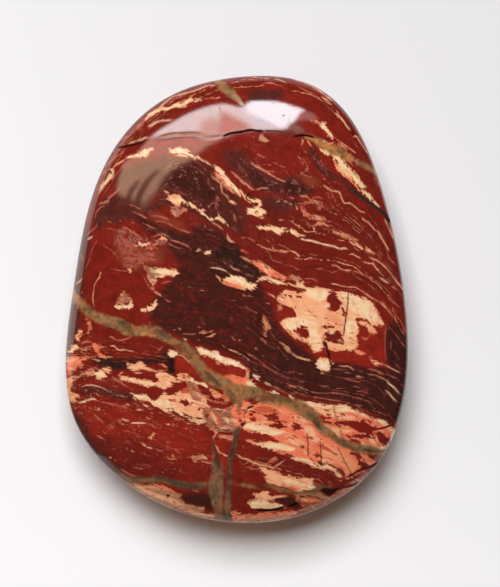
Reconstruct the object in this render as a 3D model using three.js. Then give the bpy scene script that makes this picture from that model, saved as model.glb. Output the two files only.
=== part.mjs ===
// A polished jasper pebble: one solid, in millimetres, +Z up, lying on its small flat spot.
// The origin is on that flat spot, under the middle of the stone's length and width.
import * as THREE from "three";
import { mergeVertices } from "three/addons/utils/BufferGeometryUtils.js";

// Overall size of the stone
const stoneLength = 43.9; // along Y
const stoneWidth = 33.4; // along X
const stoneThickness = 10.0;

// Girdle: the widest section, seen from above, as control points of a smooth closed curve.
// The curve is scaled afterwards to the length and width above, so these give only its form.
const girdleHeight = 5.2;
const girdlePoints = [
  [16.6, 0.0], [15.5, 6.4], [13.8, 12.8], [11.4, 18.4], [7.0, 22.2], [-0.4, 22.3],
  [-7.3, 20.4], [-12.3, 15.3], [-14.8, 8.8], [-15.8, 1.8], [-16.9, -5.6], [-16.4, -12.5],
  [-11.8, -18.1], [-5.3, -21.8], [2.0, -22.6], [8.0, -21.4], [14.6, -17.0], [17.1, -8.4],
];

// Dome over the girdle and belly under it. Each is a superellipse in section: a higher
// fullness gives a flatter face and a tighter shoulder. The crown is where the dome peaks.
const dome = { crown: [1.2, -1.4], fullness: 2.5, roundness: 1.8 };
const belly = { crown: [0.4, -0.6], fullness: 2.1, roundness: 2 };
const bellyCut = 0.12; // how much of the belly's depth the flat spot takes off

// Low swells and hollows that the hand-held polishing left on the dome
const swells = [
  { at: [-8.0, 9.5], radius: 6.5, rise: -0.34 },
  { at: [3.0, 13.0], radius: 7.0, rise: 0.22 },
  { at: [8.5, -3.0], radius: 8.0, rise: 0.18 },
  { at: [-7.5, -9.0], radius: 8.5, rise: 0.2 },
  { at: [2.5, -15.5], radius: 6.0, rise: -0.16 },
];

// Facets: cells across the top and bottom faces of a box, and cells down its walls
const cellsAcross = 40;
const cellsDown = 10;
const faceShare = 0.78; // share of the way from crown to girdle that the box's face covers
const profileSamples = 240;

// Point on a closed uniform cubic B-spline, t from 0 to 1 round the loop
function splinePoint(points, t) {
  const place = THREE.MathUtils.euclideanModulo(t, 1) * points.length;
  const first = Math.floor(place);
  const u = place - first;
  const weights = [
    (1 - u) ** 3 / 6,
    (3 * u ** 3 - 6 * u ** 2 + 4) / 6,
    (-3 * u ** 3 + 3 * u ** 2 + 3 * u + 1) / 6,
    u ** 3 / 6,
  ];
  const point = new THREE.Vector2();
  weights.forEach((weight, k) => {
    const [x, y] = points[(first + k + points.length - 1) % points.length];
    point.x += weight * x;
    point.y += weight * y;
  });
  return point;
}

// The girdle curve, moved and scaled so that its box is the stone's width by its length
function makeGirdle() {
  const samples = 720;
  const box = new THREE.Box2();
  for (let i = 0; i < samples; i++) box.expandByPoint(splinePoint(girdlePoints, i / samples));
  const middle = box.getCenter(new THREE.Vector2());
  const size = box.getSize(new THREE.Vector2());
  const scale = new THREE.Vector2(stoneWidth / size.x, stoneLength / size.y);
  return (t) => splinePoint(girdlePoints, t).sub(middle).multiply(scale);
}

// Section of the dome or belly from its crown (share 0) to the girdle (share 1), stepping
// evenly along the surface. Gives how far out it is, and how high of its full height.
function makeProfile({ fullness, roundness }, height) {
  const typicalReach = (stoneLength + stoneWidth) / 4;
  const steps = [{ reach: 0, rise: 1, along: 0 }];
  for (let i = 1; i <= profileSamples; i++) {
    const turn = (i / profileSamples) * (Math.PI / 2);
    const reach = Math.sin(turn) ** (2 / fullness);
    const rise = Math.max(Math.cos(turn), 0) ** (2 / roundness);
    const last = steps[i - 1];
    const step = Math.hypot((reach - last.reach) * typicalReach, (rise - last.rise) * height);
    steps.push({ reach, rise, along: last.along + step });
  }
  const total = steps[profileSamples].along;
  return (share) => {
    const along = share * total;
    const next = Math.max(1, steps.findIndex((step) => step.along >= along - 1e-9));
    const [a, b] = [steps[next - 1], steps[next]];
    const part = (along - a.along) / (b.along - a.along);
    return {
      reach: THREE.MathUtils.lerp(a.reach, b.reach, part),
      rise: THREE.MathUtils.lerp(a.rise, b.rise, part),
    };
  };
}

// Height of all swells together at a point of the dome
function swellAt(x, y) {
  return swells.reduce((sum, { at, radius, rise }) => {
    const away = Math.hypot(x - at[0], y - at[1]) / radius;
    return sum + rise * Math.exp(-away * away);
  }, 0);
}

const girdle = makeGirdle();
const domeHeight = stoneThickness - girdleHeight;
const bellyDepth = girdleHeight + bellyCut;
const domeProfile = makeProfile(dome, domeHeight);
const bellyProfile = makeProfile(belly, bellyDepth);

// Where a point of the unit box's surface goes on the stone. Square rings on the box's faces
// become rings of the girdle's form. The walls become the steep band on either side of the girdle.
function onStone(box) {
  const ring = Math.max(Math.abs(box.x), Math.abs(box.y));
  const onWall = Math.abs(box.z) < 1 - 1e-6;
  const share = onWall ? faceShare + (1 - faceShare) * (1 - Math.abs(box.z)) : ring * faceShare;
  let turn = 0;
  if (ring > 0) {
    const alongX = Math.abs(box.x) >= Math.abs(box.y);
    turn = alongX ? (Math.PI / 4) * (box.y / box.x) : Math.PI / 2 - (Math.PI / 4) * (box.x / box.y);
    if ((alongX ? box.x : box.y) < 0) turn += Math.PI;
  }
  const edge = girdle(turn / (2 * Math.PI));
  const above = box.z >= 0;
  const crown = new THREE.Vector2(...(above ? dome : belly).crown);
  const { reach, rise } = (above ? domeProfile : bellyProfile)(share);
  const place = crown.clone().lerp(edge, reach);
  const swell = above ? swellAt(place.x, place.y) * rise : 0;
  const z = above ? girdleHeight + domeHeight * rise + swell : girdleHeight - bellyDepth * rise;
  return new THREE.Vector3(place.x, place.y, Math.max(z, 0));
}

// Scales what is above the girdle, so that the swells leave the thickness as stated
function liftToThickness(positions) {
  let top = 0;
  for (let i = 0; i < positions.count; i++) top = Math.max(top, positions.getZ(i));
  const lift = domeHeight / (top - girdleHeight);
  for (let i = 0; i < positions.count; i++) {
    const above = positions.getZ(i) - girdleHeight;
    if (above > 0) positions.setZ(i, girdleHeight + above * lift);
  }
}

function makeStoneGeometry() {
  const box = new THREE.BoxGeometry(2, 2, 2, cellsAcross, cellsAcross, cellsDown);
  box.deleteAttribute("normal");
  box.deleteAttribute("uv");
  const geometry = mergeVertices(box);
  const positions = geometry.getAttribute("position");
  const point = new THREE.Vector3();
  for (let i = 0; i < positions.count; i++) {
    const placed = onStone(point.fromBufferAttribute(positions, i));
    positions.setXYZ(i, placed.x, placed.y, placed.z);
  }
  liftToThickness(positions);
  geometry.computeVertexNormals();
  return geometry;
}

const polishedJasper = new THREE.MeshStandardMaterial({
  name: "polished_jasper",
  color: new THREE.Color(0x7e1d14),
  roughness: 0.12,
  metalness: 0,
});

const stone = new THREE.Mesh(makeStoneGeometry(), polishedJasper);
stone.name = "stone";

const jasper = new THREE.Group();
jasper.add(stone);

export default jasper;
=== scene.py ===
import math

import bpy
import numpy as np
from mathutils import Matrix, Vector
from mathutils.kdtree import KDTree


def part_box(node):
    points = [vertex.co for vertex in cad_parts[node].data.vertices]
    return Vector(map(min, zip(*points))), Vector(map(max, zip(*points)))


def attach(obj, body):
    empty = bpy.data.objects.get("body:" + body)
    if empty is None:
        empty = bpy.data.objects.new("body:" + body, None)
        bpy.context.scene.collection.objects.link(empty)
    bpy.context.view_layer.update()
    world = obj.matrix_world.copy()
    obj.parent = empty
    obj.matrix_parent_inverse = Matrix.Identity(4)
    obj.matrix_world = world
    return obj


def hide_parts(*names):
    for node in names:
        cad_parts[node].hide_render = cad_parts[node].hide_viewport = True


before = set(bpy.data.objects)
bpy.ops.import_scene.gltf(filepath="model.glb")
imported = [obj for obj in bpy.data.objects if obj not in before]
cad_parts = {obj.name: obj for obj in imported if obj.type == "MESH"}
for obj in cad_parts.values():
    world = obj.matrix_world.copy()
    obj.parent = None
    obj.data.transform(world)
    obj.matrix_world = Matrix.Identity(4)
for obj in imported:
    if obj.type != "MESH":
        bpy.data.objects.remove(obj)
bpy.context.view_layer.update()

low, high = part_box("stone")
print("frame loaded, stone box in mm:", [round(1000 * (b - a), 1) for a, b in zip(low, high)])

# Marks below are placed in pixels of the photo, which is 500 wide and 587 high.
photo = {"width": 500, "height": 587}
camera = {
    "elevation": 84.0,  # degrees above the table, looking along +Y
    "distance": 0.239,  # metres
    "lens": 150.0,  # millimetres
    "sensor": 36.0,
    "aim": (0.00127, 0.00036, 0.0052),
}

elevation = math.radians(camera["elevation"])
lookDirection = np.array([0.0, math.cos(elevation), -math.sin(elevation)])
upDirection = np.array([0.0, math.sin(elevation), math.cos(elevation)])
cameraPlace = np.array(camera["aim"]) - lookDirection * camera["distance"]
focalPixels = camera["lens"] / camera["sensor"] * photo["height"]


# Where points of the stone lie in the photo
def toPixels(points):
    away = points - cameraPlace
    depth = away @ lookDirection
    across = photo["width"] / 2 + focalPixels * away[:, 0] / depth
    down = photo["height"] / 2 - focalPixels * (away @ upDirection) / depth
    return np.stack([across, down], axis=1)


# The stone's form, in millimetres: the same girdle, dome, belly and swells as the CAD solid
stone = {
    "girdleHeight": 5.2,
    "girdle": [
        (16.6, 0.0), (15.5, 6.4), (13.8, 12.8), (11.4, 18.4), (7.0, 22.2), (-0.4, 22.3),
        (-7.3, 20.4), (-12.3, 15.3), (-14.8, 8.8), (-15.8, 1.8), (-16.9, -5.6), (-16.4, -12.5),
        (-11.8, -18.1), (-5.3, -21.8), (2.0, -22.6), (8.0, -21.4), (14.6, -17.0), (17.1, -8.4),
    ],
    "dome": {"crown": (1.2, -1.4), "fullness": 2.5, "roundness": 1.8},
    "belly": {"crown": (0.4, -0.6), "fullness": 2.1, "roundness": 2.0},
    "bellyCut": 0.12,  # how deep the flat spot cuts into the belly
    "swells": [  # x, y, radius, rise
        (-8.0, 9.5, 6.5, -0.34), (3.0, 13.0, 7.0, 0.22), (8.5, -3.0, 8.0, 0.18),
        (-7.5, -9.0, 8.5, 0.2), (2.5, -15.5, 6.0, -0.16),
    ],
    "domeCells": (258, 342),  # across and along
    "bellyCells": (86, 114),  # a third of the dome's, so that the rims meet
    "girdleSamples": 720,
    "sectionSamples": 240,
}


# Girdle at a share of the way round, scaled to the CAD box
def girdleAt(share):
    points = np.array(stone["girdle"])
    count = len(points)

    def spline(t):
        place = (t % 1.0) * count
        first = np.floor(place).astype(int)
        u = (place - first)[:, None]
        weights = [
            (1 - u) ** 3, 3 * u**3 - 6 * u**2 + 4, -3 * u**3 + 3 * u**2 + 3 * u + 1, u**3,
        ]
        return sum(w / 6 * points[(first + k - 1) % count] for k, w in enumerate(weights))

    loop = spline(np.arange(stone["girdleSamples"]) / stone["girdleSamples"])
    loopLow, loopHigh = loop.min(axis=0), loop.max(axis=0)
    size = 1000 * np.array([high.x - low.x, high.y - low.y])
    return (spline(share) - (loopLow + loopHigh) / 2) * size / (loopHigh - loopLow)


# Section from crown to girdle, in even steps along the surface
def sectionAt(form, height, share):
    turn = np.linspace(0, math.pi / 2, stone["sectionSamples"] + 1)
    reach = np.sin(turn) ** (2 / form["fullness"])
    rise = np.maximum(np.cos(turn), 0) ** (2 / form["roundness"])
    typicalReach = 1000 * (high.x - low.x + high.y - low.y) / 4
    steps = np.hypot(np.diff(reach) * typicalReach, np.diff(rise) * height)
    along = np.concatenate([[0], np.cumsum(steps)])
    return np.interp(share * along[-1], along, reach), np.interp(share * along[-1], along, rise)


def swellAt(x, y):
    total = np.zeros_like(x)
    for atX, atY, radius, rise in stone["swells"]:
        total += rise * np.exp(-((x - atX) ** 2 + (y - atY) ** 2) / radius**2)
    return total


# Points of one half of the stone, from a square grid whose rings become rings of the girdle
def halfOfStone(cells, isDome):
    a, b = np.meshgrid(np.linspace(-1, 1, cells[0] + 1), np.linspace(-1, 1, cells[1] + 1), indexing="ij")
    a, b = a.ravel(), b.ravel()
    ring = np.maximum(abs(a), abs(b))
    alongX = abs(a) >= abs(b)
    safeA, safeB = np.where(a == 0, 1, a), np.where(b == 0, 1, b)
    turn = np.where(alongX, math.pi / 4 * b / safeA, math.pi / 2 - math.pi / 4 * a / safeB)
    turn = np.where(np.where(alongX, a, b) < 0, turn + math.pi, turn)
    turn[ring == 0] = 0
    form = stone["dome"] if isDome else stone["belly"]
    thickness, girdleHeight = 1000 * (high.z - low.z), stone["girdleHeight"]
    height = thickness - girdleHeight if isDome else girdleHeight + stone["bellyCut"]
    reach, rise = sectionAt(form, height, ring)
    crown = np.array(form["crown"])
    plan = crown + (girdleAt(turn / (2 * math.pi)) - crown) * reach[:, None]
    if isDome:
        lift = height * rise + swellAt(plan[:, 0], plan[:, 1]) * rise
        z = girdleHeight + lift * height / lift.max()
    else:
        z = np.maximum(girdleHeight - height * rise, 0)
    return np.column_stack([plan, z]) / 1000


# Grid corners as four-sided faces, turned to face outwards
def gridFaces(cells, start, flip):
    i, j = np.meshgrid(np.arange(cells[0]), np.arange(cells[1]), indexing="ij")
    corner = (start + i * (cells[1] + 1) + j).ravel()
    faces = np.column_stack([corner, corner + cells[1] + 1, corner + cells[1] + 2, corner + 1])
    return faces[:, ::-1] if flip else faces


# Indices of a grid's rim, anticlockwise from its lowest corner
def rimOf(cells, start):
    columns, rows = cells[0] + 1, cells[1] + 1
    bottom = [start + i * rows for i in range(columns)]
    right = [start + (columns - 1) * rows + j for j in range(1, rows)]
    top = [start + i * rows + rows - 1 for i in range(columns - 2, -1, -1)]
    left = [start + j for j in range(rows - 2, 0, -1)]
    return bottom + right + top + left


# Colours of the jasper, as 0 to 255 red, green and blue
colours = {
    "milk": (252, 234, 202), "cream": (248, 212, 166), "peach": (248, 178, 132),
    "apricot": (242, 152, 108), "salmon": (242, 121, 86), "coral": (206, 84, 58),
    "straw": (246, 218, 160), "rose": (184, 94, 80), "dusk": (126, 62, 52), "lilac": (166, 106, 92),
    "tan": (174, 124, 88), "clay": (146, 92, 68), "bark": (122, 84, 62), "amber": (202, 128, 62),
    "khaki": (150, 100, 58), "olive": (106, 72, 42), "moss": (52, 45, 36), "slate": (78, 54, 45),
    "rust": (132, 54, 33), "scarlet": (143, 32, 20), "brick": (124, 26, 16), "oxblood": (115, 26, 18),
    "plum": (84, 31, 26), "maroon": (65, 23, 19), "soot": (48, 23, 20), "ink": (25, 16, 14),
}

# Broad grounds, from the first painted to the last: colour, how far the edge fades, outline
grounds = [
    ("oxblood", 10, [(236, 205), (262, 196), (300, 212), (330, 190), (360, 205), (385, 225), (404, 262),
        (408, 300), (395, 300), (360, 290), (300, 282), (262, 268), (240, 255), (232, 232)]),
    ("maroon", 4, [(185, 232), (205, 225), (222, 232), (236, 246), (246, 262), (258, 273), (262, 287),
        (272, 306), (281, 330), (300, 345), (315, 357), (345, 362), (385, 368), (410, 372), (412, 398),
        (405, 420), (388, 421), (345, 404), (300, 397), (268, 386), (252, 373), (235, 356), (200, 345),
        (188, 340), (164, 330), (151, 318), (152, 304), (160, 293), (170, 282), (179, 268), (172, 254),
        (168, 244)]),
    ("plum", 5, [(120, 172), (140, 162), (165, 158), (184, 158), (176, 170), (160, 190), (146, 206),
        (130, 204), (117, 196)]),
    ("rust", 3, [(149, 212), (158, 212), (168, 217), (178, 222), (188, 229), (195, 235), (182, 232),
        (171, 227), (161, 222), (152, 219)]),
    ("scarlet", 12, [(76, 404), (110, 406), (150, 416), (200, 432), (206, 456), (150, 452), (92, 440)]),
    ("rust", 6, [(116, 234), (130, 243), (150, 248), (164, 251), (160, 262), (146, 266), (132, 270),
        (123, 262), (117, 250)]),
    ("plum", 5, [(180, 160), (198, 160), (214, 170), (228, 186), (240, 200), (246, 220), (240, 232),
        (222, 226), (206, 222), (190, 212), (170, 206), (152, 212), (140, 222), (126, 216), (132, 200),
        (150, 204), (160, 198), (158, 184), (168, 168)]),
    ("maroon", 4, [(174, 174), (190, 167), (204, 175), (217, 191), (222, 203), (212, 206), (196, 196),
        (178, 188), (166, 186)]),
    ("soot", 4, [(228, 240), (238, 246), (246, 258), (262, 272), (258, 279), (240, 272), (222, 264),
        (214, 256), (220, 246)]),
    ("plum", 3, [(236, 156), (248, 160), (262, 171), (278, 180), (290, 176), (303, 181), (314, 190),
        (308, 196), (290, 196), (270, 192), (254, 187), (244, 178), (235, 168)]),
    ("maroon", 2.5, [(243, 164), (256, 172), (270, 181), (280, 186), (268, 186), (254, 180), (243, 172)]),
    ("maroon", 2.5, [(284, 184), (296, 182), (306, 189), (298, 195), (286, 192)]),
    ("plum", 3, [(262, 199), (275, 197), (298, 200), (294, 208), (282, 212), (268, 209)]),
    ("plum", 2, [(310, 146), (318, 154), (323, 165), (330, 171), (340, 179), (335, 181), (326, 177),
        (317, 170), (311, 158)]),
    ("rust", 3, [(300, 175), (312, 176), (321, 182), (318, 186), (306, 184)]),
    ("plum", 3, [(340, 178), (348, 183), (358, 192), (354, 194), (344, 187)]),
    ("plum", 4, [(106, 196), (128, 198), (134, 206), (128, 216), (120, 223), (105, 225), (96, 230),
        (94, 219), (100, 205)]),
    ("maroon", 5, [(138, 216), (152, 221), (170, 228), (188, 236), (200, 228), (208, 240), (198, 252),
        (178, 246), (160, 238), (145, 230)]),
    ("plum", 4, [(250, 91), (278, 90), (284, 97), (262, 102), (250, 100)]),
    ("soot", 3, [(93, 358), (104, 357), (116, 358), (134, 356), (150, 354), (160, 344), (175, 346),
        (182, 352), (178, 372), (170, 374), (160, 364), (140, 366), (120, 370), (106, 368), (96, 364)]),
    ("scarlet", 3, [(176, 357), (188, 358), (200, 372), (212, 387), (200, 383), (186, 374), (176, 376)]),
    ("scarlet", 3, [(200, 354), (214, 358), (230, 366), (246, 370), (246, 380), (230, 376), (215, 374),
        (206, 366)]),
    ("scarlet", 4, [(315, 349), (355, 350), (374, 352), (372, 366), (345, 362), (318, 360)]),
    ("scarlet", 5, [(352, 318), (384, 322), (387, 362), (372, 360), (356, 350)]),
    ("maroon", 4, [(387, 326), (404, 330), (409, 360), (406, 372), (388, 366)]),
    ("oxblood", 6, [(104, 334), (125, 340), (160, 338), (174, 345), (150, 356), (115, 357), (100, 348)]),
    ("plum", 4, [(82, 389), (100, 387), (130, 393), (134, 400), (118, 399), (98, 394), (84, 395)]),
    ("oxblood", 10, [(95, 442), (130, 438), (165, 456), (180, 478), (150, 476), (115, 466)]),
    ("maroon", 4, [(182, 494), (214, 494), (214, 509), (196, 506), (184, 502)]),
    ("oxblood", 4, [(262, 458), (300, 460), (340, 482), (338, 494), (315, 488), (280, 472)]),
    ("scarlet", 3, [(213, 438), (234, 438), (231, 458), (224, 476), (218, 460)]),
    ("plum", 6, [(226, 150), (246, 152), (250, 168), (236, 172), (224, 162)]),
    ("plum", 4, [(88, 225), (80, 240), (74, 262), (66, 300), (60, 345), (66, 357), (75, 344), (79, 328),
        (82, 305), (84, 282), (87, 262), (90, 240)]),
    ("plum", 6, [(66, 420), (82, 446), (100, 466), (124, 480), (128, 472), (108, 456), (92, 436),
        (80, 416)]),
]

# Pale marks: colour, half width (0 makes a closed patch), points. The thin ones are faint lines.
topMarks = [
    ("rose", 0.8, [(113, 148), (121, 140), (130, 135), (136, 130), (144, 124)]),
    ("rose", 0.8, [(104, 168), (113, 159), (118, 155), (122, 153), (127, 147)]),
    ("peach", 0.9, [(136, 129), (150, 116), (168, 100), (175, 96), (190, 92), (200, 89), (206, 86),
        (216, 85)]),
    ("cream", 1.9, [(146, 119), (150, 115), (160, 110), (167, 109), (172, 107), (176, 105), (184, 105),
        (187, 102), (191, 100), (203, 99)]),
    ("peach", 0.9, [(203, 99), (210, 98), (217, 98), (221, 96)]),
    ("cream", 1.2, [(146, 127), (150, 126), (155, 123), (160, 121), (174, 120)]),
    ("cream", 1.3, [(128, 144), (133, 142), (140, 140), (145, 138), (151, 137)]),
    ("cream", 0, [(126, 158), (130, 156), (137, 154), (141, 151), (145, 149), (151, 148), (153, 150),
        (148, 154), (145, 157), (137, 157), (131, 158)]),
    ("peach", 1.2, [(112, 168), (116, 165), (121, 162), (127, 158)]),
    ("cream", 0, [(110, 169), (113, 168), (114, 173), (113, 178), (108, 182), (103, 188), (100, 191),
        (101, 186), (106, 180), (109, 174)]),
    ("rose", 1.2, [(101, 176), (104, 172), (108, 169)]),
    ("rose", 1.0, [(97, 197), (99, 193), (102, 190)]),
    ("rose", 1.4, [(98, 205), (103, 203), (108, 202), (109, 198), (115, 193), (121, 186)]),
    ("peach", 0.8, [(99, 203), (104, 202), (109, 200)]),
    ("rose", 0.9, [(95, 219), (96, 213), (100, 208), (106, 205)]),
    ("rose", 0.9, [(86, 236), (90, 232), (96, 227), (97, 222)]),
    ("milk", 1.4, [(87, 240), (90, 238), (93, 236)]),
    ("peach", 0.8, [(228, 78), (240, 76), (255, 77), (270, 79)]),
    ("cream", 0.9, [(273, 79), (280, 80), (288, 84)]),
    ("peach", 0.9, [(260, 86), (265, 86)]),
    ("peach", 1.0, [(293, 79), (300, 81), (306, 83), (312, 86), (320, 91), (327, 96), (334, 102)]),
    ("rose", 0.9, [(296, 86), (305, 90), (312, 93), (320, 99), (330, 108), (336, 114)]),
    ("cream", 1.2, [(334, 112), (341, 118), (346, 125), (351, 131)]),
    ("peach", 1.6, [(322, 97), (327, 100), (332, 104)]),
    ("peach", 1.1, [(352, 138), (356, 136), (360, 142), (364, 148), (368, 154)]),
    ("rose", 1.0, [(374, 176), (378, 182), (380, 187)]),
]

upperRightMarks = [
    ("coral", 1.7, [(312, 121), (320, 124), (327, 132), (332, 138)]),
    ("cream", 0, [(321, 123), (325, 122), (328, 129), (332, 134), (335, 138), (330, 136), (325, 131),
        (321, 128)]),
    ("peach", 0.9, [(335, 138), (342, 143), (350, 149), (358, 154)]),
    ("peach", 1.2, [(320, 141), (328, 144), (335, 142)]),
    ("salmon", 1.8, [(334, 160), (338, 168), (346, 175), (353, 182), (361, 190)]),
    ("straw", 2.6, [(321, 149), (328, 152), (335, 156)]),
    ("peach", 1.0, [(316, 138), (324, 141), (331, 143)]),
    ("rose", 1.8, [(336, 143), (342, 146), (347, 150)]),
    ("straw", 0, [(320, 146), (325, 149), (333, 153), (339, 156), (343, 160), (346, 165), (352, 170),
        (356, 174), (360, 181), (364, 184), (366, 188), (363, 189), (370, 195), (374, 201), (380, 207),
        (372, 202), (366, 196), (358, 187), (352, 179), (344, 174), (339, 168), (337, 161), (331, 155)]),
    ("rose", 1.2, [(346, 157), (350, 162), (354, 167)]),
    ("tan", 0, [(259, 137), (262, 134), (267, 138), (268, 142), (262, 143), (259, 141)]),
    ("rose", 1.0, [(242, 143), (245, 145), (248, 148)]),
    ("rose", 1.0, [(255, 153), (261, 156), (267, 159)]),
    ("peach", 1.1, [(301, 137), (303, 141), (301, 145)]),
    ("peach", 1.1, [(306, 139), (309, 143), (312, 147)]),
    ("rose", 1.0, [(303, 151), (308, 153)]),
    ("rose", 1.0, [(297, 156), (302, 159)]),
    ("rose", 0.9, [(303, 158), (306, 163), (308, 168), (306, 171), (299, 174)]),
    ("rose", 0.9, [(293, 161), (295, 165)]),
    ("peach", 1.1, [(250, 160), (254, 165), (263, 170), (270, 174), (280, 180), (288, 182)]),
    ("rose", 1.0, [(271, 162), (277, 164), (281, 166), (286, 168)]),
    ("coral", 0.9, [(261, 165), (267, 164), (273, 167)]),
    ("coral", 1.0, [(262, 169), (270, 171), (276, 172)]),
    ("peach", 1.1, [(231, 171), (235, 175), (240, 179), (244, 183), (247, 185), (252, 189), (256, 190),
        (262, 188), (269, 189)]),
    ("rose", 1.0, [(325, 167), (329, 170), (333, 173)]),
    ("rose", 1.2, [(322, 179), (327, 179)]),
    ("peach", 1.0, [(322, 184), (328, 188), (333, 191), (339, 192), (341, 197), (344, 203), (349, 203),
        (354, 206), (360, 211), (366, 213)]),
    ("peach", 1.1, [(361, 216), (364, 220), (369, 223), (374, 229), (378, 232), (381, 237), (385, 244),
        (390, 252)]),
    ("peach", 1.1, [(383, 217), (386, 222), (390, 231), (394, 240)]),
    ("tan", 1.6, [(313, 226), (318, 224), (323, 223), (327, 226), (334, 231), (337, 232), (346, 236),
        (357, 240)]),
    ("cream", 1.2, [(319, 224), (325, 223)]),
    ("rust", 1.6, [(302, 206), (304, 213), (308, 216), (316, 219), (325, 217)]),
    ("dusk", 1.7, [(305, 204), (313, 201), (321, 205), (318, 210)]),
    ("rose", 1.4, [(309, 203), (312, 199), (318, 197), (324, 200)]),
    ("rose", 1.5, [(301, 208), (305, 214), (312, 217), (320, 217), (326, 220)]),
    ("rose", 1.3, [(325, 221), (333, 222)]),
    ("peach", 0.9, [(275, 202), (281, 201)]),
    ("peach", 1.1, [(283, 203), (286, 201), (289, 204)]),
    ("peach", 1.0, [(289, 202), (293, 206)]),
    ("rose", 1.0, [(288, 197), (297, 199)]),
    ("lilac", 1.3, [(287, 190), (292, 191)]),
    ("lilac", 1.3, [(279, 192), (283, 191)]),
    ("peach", 1.0, [(298, 203), (305, 204)]),
    ("peach", 1.1, [(296, 206), (298, 211)]),
    ("peach", 1.1, [(278, 220), (285, 220)]),
    ("peach", 1.2, [(259, 217), (265, 219)]),
    ("peach", 1.1, [(312, 226), (315, 230)]),
    ("lilac", 1.6, [(300, 196), (308, 197)]),
]

creamTrailMarks = [
    ("cream", 0, [(168, 149), (174, 148), (180, 147), (187, 150), (190, 153), (194, 155), (200, 158),
        (196, 159), (188, 157), (180, 155), (173, 154)]),
    ("milk", 1.6, [(172, 151), (180, 151), (186, 153)]),
    ("cream", 1.2, [(196, 157), (202, 160), (209, 164), (214, 168)]),
    ("salmon", 0, [(214, 167), (222, 178), (229, 186), (236, 193), (245, 199), (240, 196), (231, 192),
        (224, 186), (217, 177)]),
    ("cream", 0, [(212, 165), (217, 167), (223, 172), (229, 178), (235, 185), (240, 190), (245, 195),
        (246, 198), (240, 195), (233, 189), (226, 184), (220, 175), (214, 169)]),
    ("milk", 1.5, [(218, 170), (225, 178), (231, 184), (237, 190)]),
    ("cream", 1.8, [(247, 198), (252, 201), (258, 201), (260, 204), (258, 208)]),
    ("cream", 0, [(247, 208), (253, 207), (259, 208), (265, 211), (262, 215), (254, 216), (248, 214)]),
    ("cream", 1.2, [(258, 209), (265, 211)]),
    ("peach", 1.1, [(210, 174), (214, 178), (218, 181), (221, 184), (222, 192), (226, 195), (229, 199)]),
    ("peach", 2.4, [(230, 201), (235, 204)]),
    ("cream", 1.4, [(163, 190), (168, 193), (171, 194)]),
    ("peach", 0, [(167, 199), (171, 194), (176, 193), (181, 196), (183, 202), (180, 206), (173, 205),
        (170, 202)]),
    ("cream", 1.8, [(171, 200), (175, 201), (180, 202)]),
    ("cream", 2.1, [(172, 200), (180, 200), (184, 202), (189, 203), (193, 206), (200, 210), (206, 216),
        (209, 219)]),
    ("cream", 2.0, [(209, 219), (214, 219), (218, 218), (222, 221), (228, 225)]),
    ("peach", 1.2, [(209, 221), (217, 225), (223, 230)]),
    ("rose", 0.9, [(173, 190), (180, 194), (190, 195)]),
    ("lilac", 1.5, [(194, 201), (199, 200)]),
    ("lilac", 0, [(171, 207), (179, 209), (189, 208), (184, 212), (177, 217), (173, 215)]),
    ("rose", 0.9, [(174, 216), (181, 211), (189, 208)]),
    ("rose", 0.9, [(180, 178), (182, 173)]),
    ("lilac", 1.0, [(194, 179), (197, 178)]),
    ("lilac", 0.9, [(174, 187), (183, 188)]),
    ("lilac", 1.2, [(209, 187), (216, 190)]),
    ("lilac", 1.2, [(200, 207), (202, 203)]),
    ("lilac", 1.0, [(207, 209), (213, 203), (219, 207)]),
    ("coral", 1.1, [(151, 216), (158, 216), (165, 218), (170, 221)]),
    ("rose", 0.9, [(155, 221), (165, 222), (173, 226), (181, 230), (191, 233)]),
    ("peach", 1.3, [(227, 234), (229, 240), (235, 243)]),
    ("rose", 1.3, [(234, 211), (235, 218), (237, 223)]),
    ("rose", 1.0, [(204, 224), (206, 228)]),
    ("rose", 1.0, [(208, 229), (216, 231)]),
    ("cream", 0, [(253, 227), (262, 226), (272, 226), (279, 228), (288, 229), (295, 231), (300, 236),
        (293, 235), (286, 232), (279, 234), (272, 232), (264, 229)]),
    ("milk", 1.3, [(266, 228), (274, 230), (282, 231)]),
    ("cream", 1.0, [(298, 235), (306, 236)]),
    ("cream", 1.3, [(299, 238), (305, 240), (312, 241), (322, 244), (333, 246), (340, 249), (345, 248),
        (349, 250)]),
    ("milk", 0.8, [(330, 246), (338, 248), (346, 249)]),
    ("peach", 1.1, [(348, 255), (352, 254), (358, 257), (362, 259)]),
    ("peach", 1.1, [(362, 261), (367, 263), (373, 264), (376, 268), (381, 273)]),
    ("rose", 0.9, [(240, 238), (248, 238), (256, 243)]),
    ("peach", 1.0, [(255, 243), (261, 246), (268, 249), (275, 251), (283, 252), (290, 251), (296, 253),
        (301, 259)]),
    ("rose", 1.0, [(309, 261), (313, 258), (319, 260)]),
]

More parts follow.
